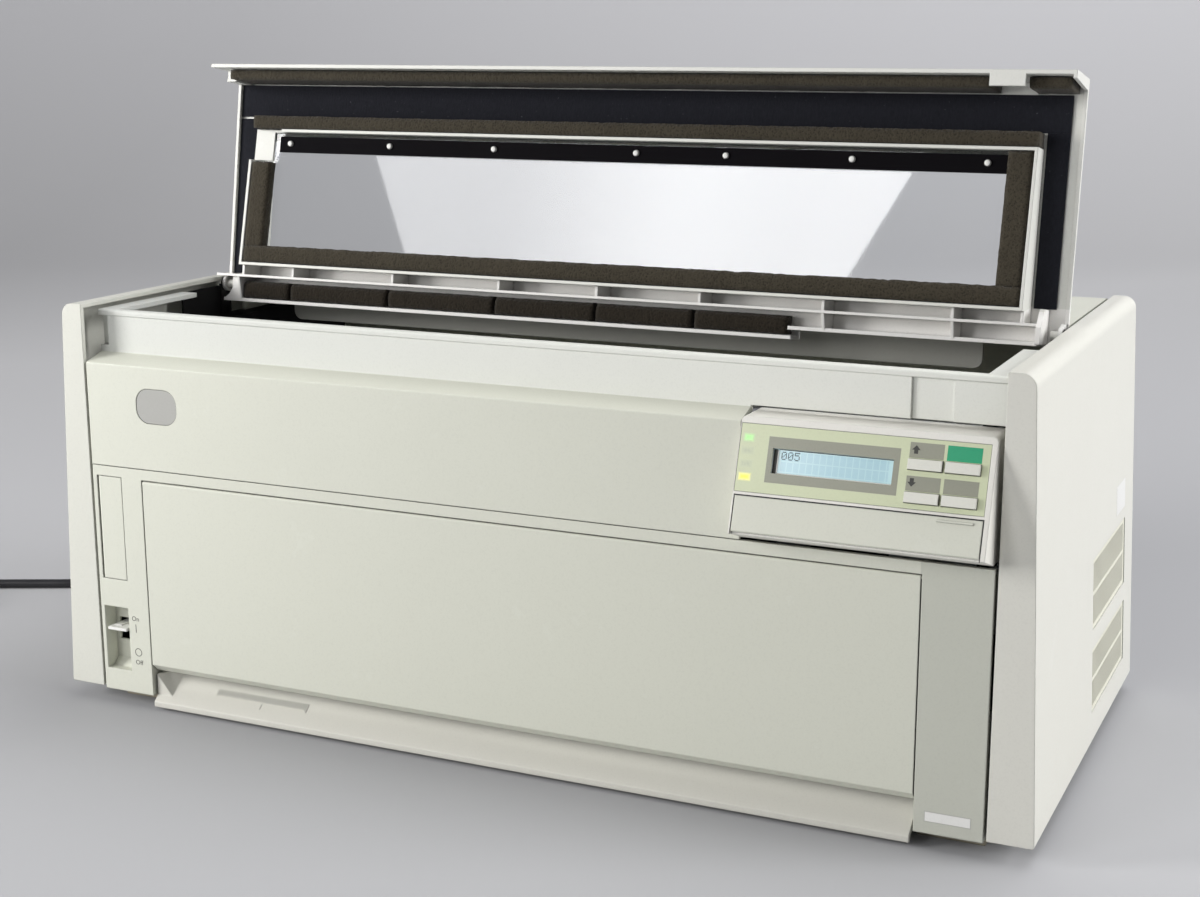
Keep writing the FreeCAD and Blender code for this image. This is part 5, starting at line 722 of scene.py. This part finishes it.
def felt_piece(name, x, s, seed):
    """a glued felt strip: thin, a little wavy, with soft cut edges"""
    step, glued, face, fray_rise, fray_over = 6.0, 7.15, 5.85, 0.35, 1.2
    nx = max(2, int((x[1] - x[0]) / step))
    ns = max(2, int((s[1] - s[0]) / step))
    verts, faces = [], []
    for layer in (0, 1):
        for j in range(ns + 1):
            for i in range(nx + 1):
                px = x[0] + (x[1] - x[0]) * i / nx
                ps = s[0] + (s[1] - s[0]) * j / ns
                wave = noise.noise(Vector((px * 0.05, ps * 0.05, seed))) * 0.12
                edge = min(px - x[0], x[1] - px, ps - s[0], s[1] - ps)
                fray = fray_rise * math.exp(-edge / fray_over)
                verts.append(cov(px, ps, glued if layer == 0 else face + wave + fray))
    row = nx + 1
    block = row * (ns + 1)
    for j in range(ns):
        for i in range(nx):
            a = j * row + i
            faces.append((a, a + row, a + row + 1, a + 1))
            b = a + block
            faces.append((b, b + 1, b + row + 1, b + row))
    rim_points = ([j for j in range(nx)] + [nx + j * row for j in range(ns)]
                  + [ns * row + nx - i for i in range(nx)] + [(ns - j) * row for j in range(ns)])
    count = len(rim_points)
    for i in range(count):
        a, b = rim_points[i], rim_points[(i + 1) % count]
        faces.append((a, b, b + block, a + block))
    obj = piece(name, verts, faces, "top_cover", ["felt"])
    return obj


def make_felt():
    front = felt_piece("felt_front", (-297.8, 292.7), (119.9, 142.2), 1)
    felt_piece("felt_left", (-297.8, -279.1), (7.8, 118.4), 2)
    felt_piece("felt_right", (279.1, 292.7), (15.8, 119.8), 3)
    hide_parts("cover_felt")


def make_rivets():
    """the white rivet heads along the black strip: four rings of points and a tip each"""
    verts, faces = [], []
    sides, strip_half, s = 16, 270.0, 100.5
    base = rim(s, 6.6)
    rings, tip = ((2.15, 0.0), (2.1, -1.1), (1.7, -1.5), (1.0, -1.72)), -1.78
    for share in (-0.9185, -0.6185, -0.3185, 0.0667, 0.2963, 0.6037, 0.9148):
        x = strip_half * share
        first = len(verts)
        for r, h in rings:
            turns = [2 * math.pi * k / sides for k in range(sides)]
            verts += [cov(x + r * math.cos(a), s + r * math.sin(a), base + h) for a in turns]
        verts.append(cov(x, s, base + tip))
        for ring in range(len(rings) - 1):
            for k in range(sides):
                a, b = first + ring * sides + k, first + ring * sides + (k + 1) % sides
                faces.append((a, b, b + sides, a + sides))
        last = first + (len(rings) - 1) * sides
        faces += [(last + k, last + (k + 1) % sides, last + sides) for k in range(sides)]
        faces.append(tuple(first + k for k in reversed(range(sides))))
    piece("retainer_rivets", verts, faces, "top_cover", ["white"], smooth=True)


make_foam()
make_felt()
make_rivets()


# The mains lead: one smooth curve along the route, then its coil

def make_cord():
    lead_in, floor_z = 7.0, 3.8
    route = [
        (-250.0, 219.6, 45.0),
        (-250.0, 232.0, 43.0),
        (-259.0, 270.0, 26.0),
        (-285.0, 302.0, 8.0),
        (-328.0, 320.0, floor_z),
        (-383.0, 304.0, floor_z),
        (-424.0, 254.0, floor_z),
        (-438.0, 189.0, floor_z),
        (-446.0, 121.0, floor_z),
        (-466.0, 55.0, floor_z),
        (-550.5, 17.5, floor_z),
        (-606.0, -12.0, floor_z),
    ]
    # the coil: half turns spiral in on the floor, one climbs, and half turns spiral out on top
    inner_r, pitch, layer, per_layer = 32.0, 8.6, 8.2, 4
    way = (Vector(route[-1]) - Vector(route[-2])).normalized()
    first = Vector(route[-1]) + way * lead_in
    outer_r = inner_r + pitch * per_layer / 2
    centre = first + Vector((0, 0, 1)).cross(way) * outer_r
    start = math.atan2(first.y - centre.y, first.x - centre.x)
    points = [Vector(p) for p in route]
    steps_per_half = 8
    total = 2 * per_layer + 0.5
    grow = 2.0 / (1 + math.cos(math.pi / steps_per_half))    # the curve runs inside its points
    for i in range(1, int(total * steps_per_half) + 1):
        k = i / steps_per_half
        steps = per_layer - min(k, per_layer) + max(0.0, k - per_layer - 1)
        r = (inner_r + pitch * steps / 2) * grow
        rise = min(1.0, max(0.0, k - per_layer))
        z = floor_z + layer * (3 * rise ** 2 - 2 * rise ** 3)
        a = start + math.pi * k
        points.append(Vector((centre.x + r * math.cos(a), centre.y + r * math.sin(a), z)))
    a = start + math.pi * total
    ahead = Vector((-math.sin(a), math.cos(a), 0))
    r_end = inner_r + pitch * (per_layer - 0.5) / 2
    top = Vector((centre.x + r_end * math.cos(a), centre.y + r_end * math.sin(a), floor_z + layer))
    points.append(top + ahead * lead_in)
    curve = bpy.data.curves.new("mains_lead", "CURVE")
    curve.dimensions = "3D"
    curve.resolution_u = 8
    curve.bevel_depth = 0.0035
    curve.bevel_resolution = 5
    curve.use_fill_caps = True
    spline = curve.splines.new("NURBS")
    spline.points.add(len(points) - 1)
    for target, p in zip(spline.points, points):
        target.co = (p.x * MM, p.y * MM, p.z * MM, 1.0)
    spline.order_u = 3
    spline.use_endpoint_u = True
    curve.materials.append(MATERIALS["cord"])
    obj = bpy.data.objects.new("mains_lead", curve)
    scene.collection.objects.link(obj)
    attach(obj, "machine")
    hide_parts("mains_cord", "cord_coil")


make_cord()


# Printing on the operator panel

def ring_points(u, v, r0, r1):
    """a ring as a closed band outline, cut at one place"""
    turns = [2 * math.pi * i / 28 for i in range(29)]
    outer = [(u + r1 * math.cos(a), v + r1 * math.sin(a)) for a in turns]
    inner = [(u + r0 * math.cos(a), v + r0 * math.sin(a)) for a in reversed(turns)]
    return outer + inner


def arrow(u, v, size, up):
    """a plain arrow, head and short shaft; up is 1 or -1"""
    w, t, neck = size / 2, size / 4.2, 0.05 * size
    points = [(0, -w), (w, neck), (t, neck), (t, w), (-t, w), (-t, neck), (-w, neck)]
    return [(u + a, v + b * up) for a, b in points]


def make_panel_print():
    """the grey frame of the display, the key labels, arrows, painted light and shade at the display
    window's edge, a painted shadow in the flap's seam, and the lights
    """
    fields = [
        (rect(17.3, 91.3, 10.3, 16.5), 0), (rect(17.3, 91.3, 30.4, 35.7), 0),
        (rect(17.3, 20.0, 16.5, 30.4), 0), (rect(88.0, 91.3, 16.5, 30.4), 0),
        (rect(96.0, 114.5, 6.3, 14.6), 0), (rect(116.2, 134.8, 6.4, 14.6), 1),
        (rect(95.9, 114.4, 24.3, 32.3), 0), (rect(116.2, 134.8, 24.3, 32.3), 0),
    ]
    slabs("panel_print", fields, pan, 0.0, 0.05, ["print_grey", "print_green"])
    marks = [(arrow(99.4, 10.1, 4.6, 1), 0), (arrow(98.9, 27.8, 4.6, -1), 0)]
    slabs("panel_arrows", marks, pan, 0.05, 0.09, ["ink"])
    # painted light and shade in the display window: dark strips at its left and top stand for its shaded
    # walls, pale strips at the inner left, bottom and right for its lit edges
    edge = [
        (rect(20.05, 22.3, 16.8, 30.2), 0), (rect(22.3, 23.1, 17.2, 30.0), 1),
        (rect(23.1, 87.9, 29.7, 30.3), 1), (rect(87.3, 87.9, 16.8, 29.7), 1),
        (rect(23.1, 87.3, 16.6, 17.0), 0),
    ]
    slabs("display_window_painted_light_and_shade", edge, pan, -2.76, -2.66, ["ink", "white"])
    # painted shadow: black strips along the flap's top and sides stand for the shade in its seam
    left, right, under = FLAP_LEFT - 0.35, FLAP_RIGHT + 0.35, FLAP_TOP + 0.3
    seam_shade = [
        (rect(left, right, FLAP_TOP - 0.45, under), 0),
        (rect(left, FLAP_LEFT + 0.1, under, FLAP_FOOT), 0),
        (rect(FLAP_RIGHT - 0.1, right, under, FLAP_FOOT), 0),
    ]
    slabs("flap_seam_painted_shadow", seam_shade, pan, 0.0, 0.03, ["black"])
    lights = []
    for i in range(4):
        middle = LIGHT_FIRST + LIGHT_PITCH * i
        lights.append((rect(1.6, 9.8, middle - 2.5, middle + 2.5), 0))
    slabs("status_light_print", lights, pan, 0.0, 0.04, ["light_print"])


DIGITS = {      # rows of dots, as such a display forms its digits
    "0": ("01110", "10001", "10011", "10101", "11001", "10001", "01110"),
    "5": ("11111", "10000", "11110", "00001", "00001", "10001", "01110"),
}


def make_display_digits():
    dots = []
    for place, digit in enumerate("005"):
        for r, line in enumerate(DIGITS[digit]):
            for c, on in enumerate(line):
                if on == "1":
                    u = CELLS_LEFT + place * CELL_PITCH_U + c * DOT_PITCH_U
                    v = CELLS_TOP + 0.15 + r * DOT_PITCH_V
                    dots.append((rect(u, u + 0.55, v, v + 0.58), 0))
    slabs("display_digits", dots, pan, GLASS_LEVEL, GLASS_LEVEL + 0.04, ["segment"])


make_panel_print()
make_display_digits()


# Marks beside the power lever, scale on the ramp, bare labels

def front(x, z, d):
    """a point on the front face, d in front of it"""
    return Vector((x, FRONT_Y - d, z)) * MM


def right_side(y, z, d):
    """a point on the right panel's flared face, d outside it"""
    return Vector((SIDE_FOOT_X - SIDE_FLARE * (z - SIDE_FOOT_Z) + d, y, z)) * MM


def word(name, text, x, z, size):
    """a word on the front face, as a mesh"""
    curve = bpy.data.curves.new(name, "FONT")
    curve.body = text
    curve.size = size * MM
    curve.align_x = "CENTER"
    curve.extrude = 0.00003
    curve.resolution_u = 4
    made = bpy.data.objects.new(name + "_text", curve)
    scene.collection.objects.link(made)
    mesh = bpy.data.meshes.new_from_object(made.evaluated_get(bpy.context.evaluated_depsgraph_get()))
    bpy.data.objects.remove(made)
    mesh.transform(Matrix.Translation(front(x, z, 0.05)) @ Matrix.Rotation(math.pi / 2, 4, "X"))
    mesh.materials.clear()
    mesh.materials.append(MATERIALS["mark"])
    obj = bpy.data.objects.new(name, mesh)
    scene.collection.objects.link(obj)
    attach(obj, "machine")


def make_switch_marks():
    word("mark_on", "On", -271.6, 60.4, 4.6)
    word("mark_off", "Off", -270.4, 30.0, 4.6)
    slabs("mark_bar_and_ring", [
        (rect(-271.85, -271.3, 52.3, 58.0), 0),
        (ring_points(-270.6, 38.6, 2.35, 2.85), 0),
    ], front, 0.0, 0.06, ["mark"])


RAMP_Y, RAMP_Z, RAMP_RISE = -157.6, 6.4, 12.5 / 15.2        # the paper ramp's front edge and slope


def ramp(x, y, d):
    """a point on the paper ramp at x, y, d above its face"""
    size = math.hypot(1, RAMP_RISE)
    return Vector((x, y - d * RAMP_RISE / size, RAMP_Z + (y - RAMP_Y) * RAMP_RISE + d / size)) * MM


def make_scale():
    """a row of ticks down from one line, the last one longer, and a mark below them"""
    ticks = []
    count, left, over, line_y, flat = 47, -214.0, 70.0, -144.4, 0.772
    for i in range(count):
        x = left + over * i / (count - 1)
        last = i == count - 1
        length = 6.4 if last else 4.2 if i % 5 else 5.0
        wide = 0.34 if last else 0.26
        ticks.append((rect(x - wide, x + wide, line_y - length * flat, line_y), 0))
    x = -178.0
    ticks.append((rect(x - 0.2, x + 0.2, -151.9, -148.6), 0))
    slabs("ramp_scale", ticks, ramp, 0.0, 0.05, ["ink"])


def make_labels():
    """the bare type plate with its edge, and the bare sticker on the right panel"""
    for name, outline, place, low, high, material in (
            ("bare_label_front", (266.3, 292.7, 16.5, 22.9), front, 0.0, 0.06, "label_edge"),
            ("bare_label_front_face", (266.8, 292.2, 17.0, 22.4), front, 0.06, 0.10, "label"),
            ("bare_label_side", (93.0, 124.0, 137.0, 156.0), right_side, 0.0, 0.08, "label")):
        slabs(name, [(rect(*outline), 0)], place, low, high, [material])


make_switch_marks()
make_scale()
make_labels()


# Floor and light: from here on lengths are in metres

STAGE_TURN = math.radians(24.7)                             # the sweep faces the camera


def stage_material(name, floor_color, back_color, glow):
    """pale paper, with painted light: darker on the floor than where it rises behind the object, lighter to
    the right.
    What the camera, a reflection or the window shows of the backdrop is lifted by a painted glow; it lights
    nothing."""
    n = Nodes(name)
    place = n.add("ShaderNodeSeparateXYZ")
    n.link(n.add("ShaderNodeNewGeometry").outputs["Position"], place.inputs[0])
    # painted light: the floor is darker than the rising backdrop, and the paper grows lighter to the right
    rise = n.map_range(place.outputs["Z"], 0.0, 1.0, start=0.0, end=1.2)
    side_light = n.map_range(place.outputs["X"], 0.84, 1.26, start=-2.2, end=0.9)
    base = n.mix(floor_color, back_color, rise)
    grey = n.add("ShaderNodeCombineXYZ")
    for socket in grey.inputs:
        n.link(side_light, socket)
    base = n.mix(base, grey.outputs[0], 1.0, "MULTIPLY")
    n.set(n.bsdf.inputs["Base Color"], n.mix(base, (0.985, 0.985, 0.985), n.noise(1.2, 3.0), "MULTIPLY"))
    n.bsdf.inputs["Roughness"].default_value = 0.9
    n.bsdf.inputs["Specular IOR Level"].default_value = 0.1
    # painted glow: what the camera, reflections and the window see of the backdrop is lifted, more so
    # further back
    far = n.map_range(n.dot((-0.4179, 0.9085, 0), (0, 0, 0)), 0.0, 1.0, start=0.1, end=1.5)
    path = n.add("ShaderNodeLightPath").outputs
    seen = n.math("MAXIMUM", path["Is Glossy Ray"], path["Is Transmission Ray"])
    seen = n.math("MAXIMUM", path["Is Camera Ray"], seen)
    painted_glow = n.math("MULTIPLY", n.math("MULTIPLY", seen, far), side_light)
    n.set(n.bsdf.inputs["Emission Color"], n.mix((0.97, 0.965, 1.0), (1.0, 0.995, 1.0), side_light))
    n.set(n.bsdf.inputs["Emission Strength"], n.math("MULTIPLY", painted_glow, glow))
    return n.mat


def make_stage():
    """a floor that sweeps up into a backdrop"""
    near, bend, radius, tall, half, steps = -6.0, 2.4, 1.2, 5.0, 9.0, 12
    profile = [(near, 0.0), (bend, 0.0)]
    for i in range(1, steps + 1):
        a = math.pi / 2 * i / steps
        profile.append((bend + radius * math.sin(a), radius - radius * math.cos(a)))
    profile.append((bend + radius, tall))
    verts = [(x, y, z) for y, z in profile for x in (-half, half)]
    faces = [(2 * i, 2 * i + 1, 2 * i + 3, 2 * i + 2) for i in range(len(profile) - 1)]
    mesh = bpy.data.meshes.new("sweep")
    mesh.from_pydata(verts, [], faces)
    for polygon in mesh.polygons:
        polygon.use_smooth = True
    mesh.materials.append(stage_material("sweep_painted_light", (0.365, 0.367, 0.380), (0.80, 0.80, 0.84), 0.20))
    obj = bpy.data.objects.new("sweep", mesh)
    obj.rotation_euler = (0, 0, STAGE_TURN)
    scene.collection.objects.link(obj)
    obj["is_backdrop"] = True


def lamp(name, place, aim, width, height, power, color=(1, 1, 1)):
    """a softbox that faces the point aim; power in watts"""
    data = bpy.data.lights.new(name, "AREA")
    data.shape = "RECTANGLE"
    data.size, data.size_y = width, height
    data.energy = power
    data.color = color
    obj = bpy.data.objects.new(name, data)
    obj.location = place
    obj.rotation_euler = (Vector(aim) - Vector(place)).to_track_quat("-Z", "Y").to_euler()
    scene.collection.objects.link(obj)
    return obj


def shape_softbox(obj, left, right, level):
    """a softbox whose left and right edges lean: each is (place at mid height, lean in metres per metre),
    level is its brightness at the left, two thirds across and right"""
    across, up = (obj.rotation_euler.to_matrix() @ Vector(v) for v in ((1, 0, 0), (0, 1, 0)))
    obj.data.use_nodes = True
    tree = obj.data.node_tree
    emission = next(node for node in tree.nodes if node.type == "EMISSION")
    place = tree.nodes.new("ShaderNodeNewGeometry").outputs["Position"]

    def op(kind, *values):
        node = tree.nodes.new("ShaderNodeMath")
        node.operation = kind
        for socket, value in zip(node.inputs, values):
            if isinstance(value, bpy.types.NodeSocket):
                tree.links.new(value, socket)
            else:
                socket.default_value = value
        return node.outputs[0]

    def along(axis):
        node = tree.nodes.new("ShaderNodeVectorMath")
        node.operation = "DOT_PRODUCT"
        tree.links.new(place, node.inputs[0])
        node.inputs[1].default_value = axis
        return op("SUBTRACT", node.outputs["Value"], obj.location.dot(axis))

    x, y = along(across), along(up)
    inside = op("MULTIPLY",
                op("GREATER_THAN", x, op("ADD", op("MULTIPLY", y, left[1]), left[0])),
                op("LESS_THAN", x, op("ADD", op("MULTIPLY", y, right[1]), right[0])))
    fade = tree.nodes.new("ShaderNodeValToRGB")
    fade.color_ramp.interpolation = "EASE"
    fade.color_ramp.elements.new(0.66)
    for element, spot, value in zip(fade.color_ramp.elements, (0.1, 0.66, 0.95), level):
        element.position = spot
        element.color = (value, value, value, 1.0)
    wide = right[0] - left[0]
    tree.links.new(op("ADD", op("MULTIPLY", x, 1.0 / wide), -left[0] / wide), fade.inputs["Fac"])
    tree.links.new(op("MULTIPLY", inside, fade.outputs["Color"]), emission.inputs["Strength"])


def make_light():
    world = bpy.data.worlds.new("studio")
    world.use_nodes = True
    sky = world.node_tree.nodes["Background"].inputs
    sky["Color"].default_value = (0.90, 0.90, 0.93, 1)
    sky["Strength"].default_value = 0.27
    scene.world = world
    lamp("key_softbox", (-1.42, -1.07, 0.62), (0.0, 0.0, 0.2), 0.55, 0.85, 26.0, (1.0, 0.99, 0.97))
    lamp("top_softbox", (0.7, 0.6, 2.6), (0.0, 0.0, 0.2), 2.2, 1.8, 38.0)
    lamp("right_softbox", (2.5, 0.3, 1.1), (0.0, 0.0, 0.2), 1.2, 1.2, 50.0)
    front_box = lamp("front_softbox", (-1.344, -2.80, 1.16), (0.0, 0.02, 0.36), 1.6, 1.3, 50.0)
    shape_softbox(front_box, (-0.429, -0.532), (0.480, 0.364), (0.60, 1.0, 0.92))


make_stage()
make_light()


def numbers(value):
    """corner vectors as plain lists"""
    if isinstance(value, (int, float)):
        return float(value)
    return [numbers(v) for v in value]


{"cad": numbers(cad_bounds), "visual": numbers(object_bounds())}
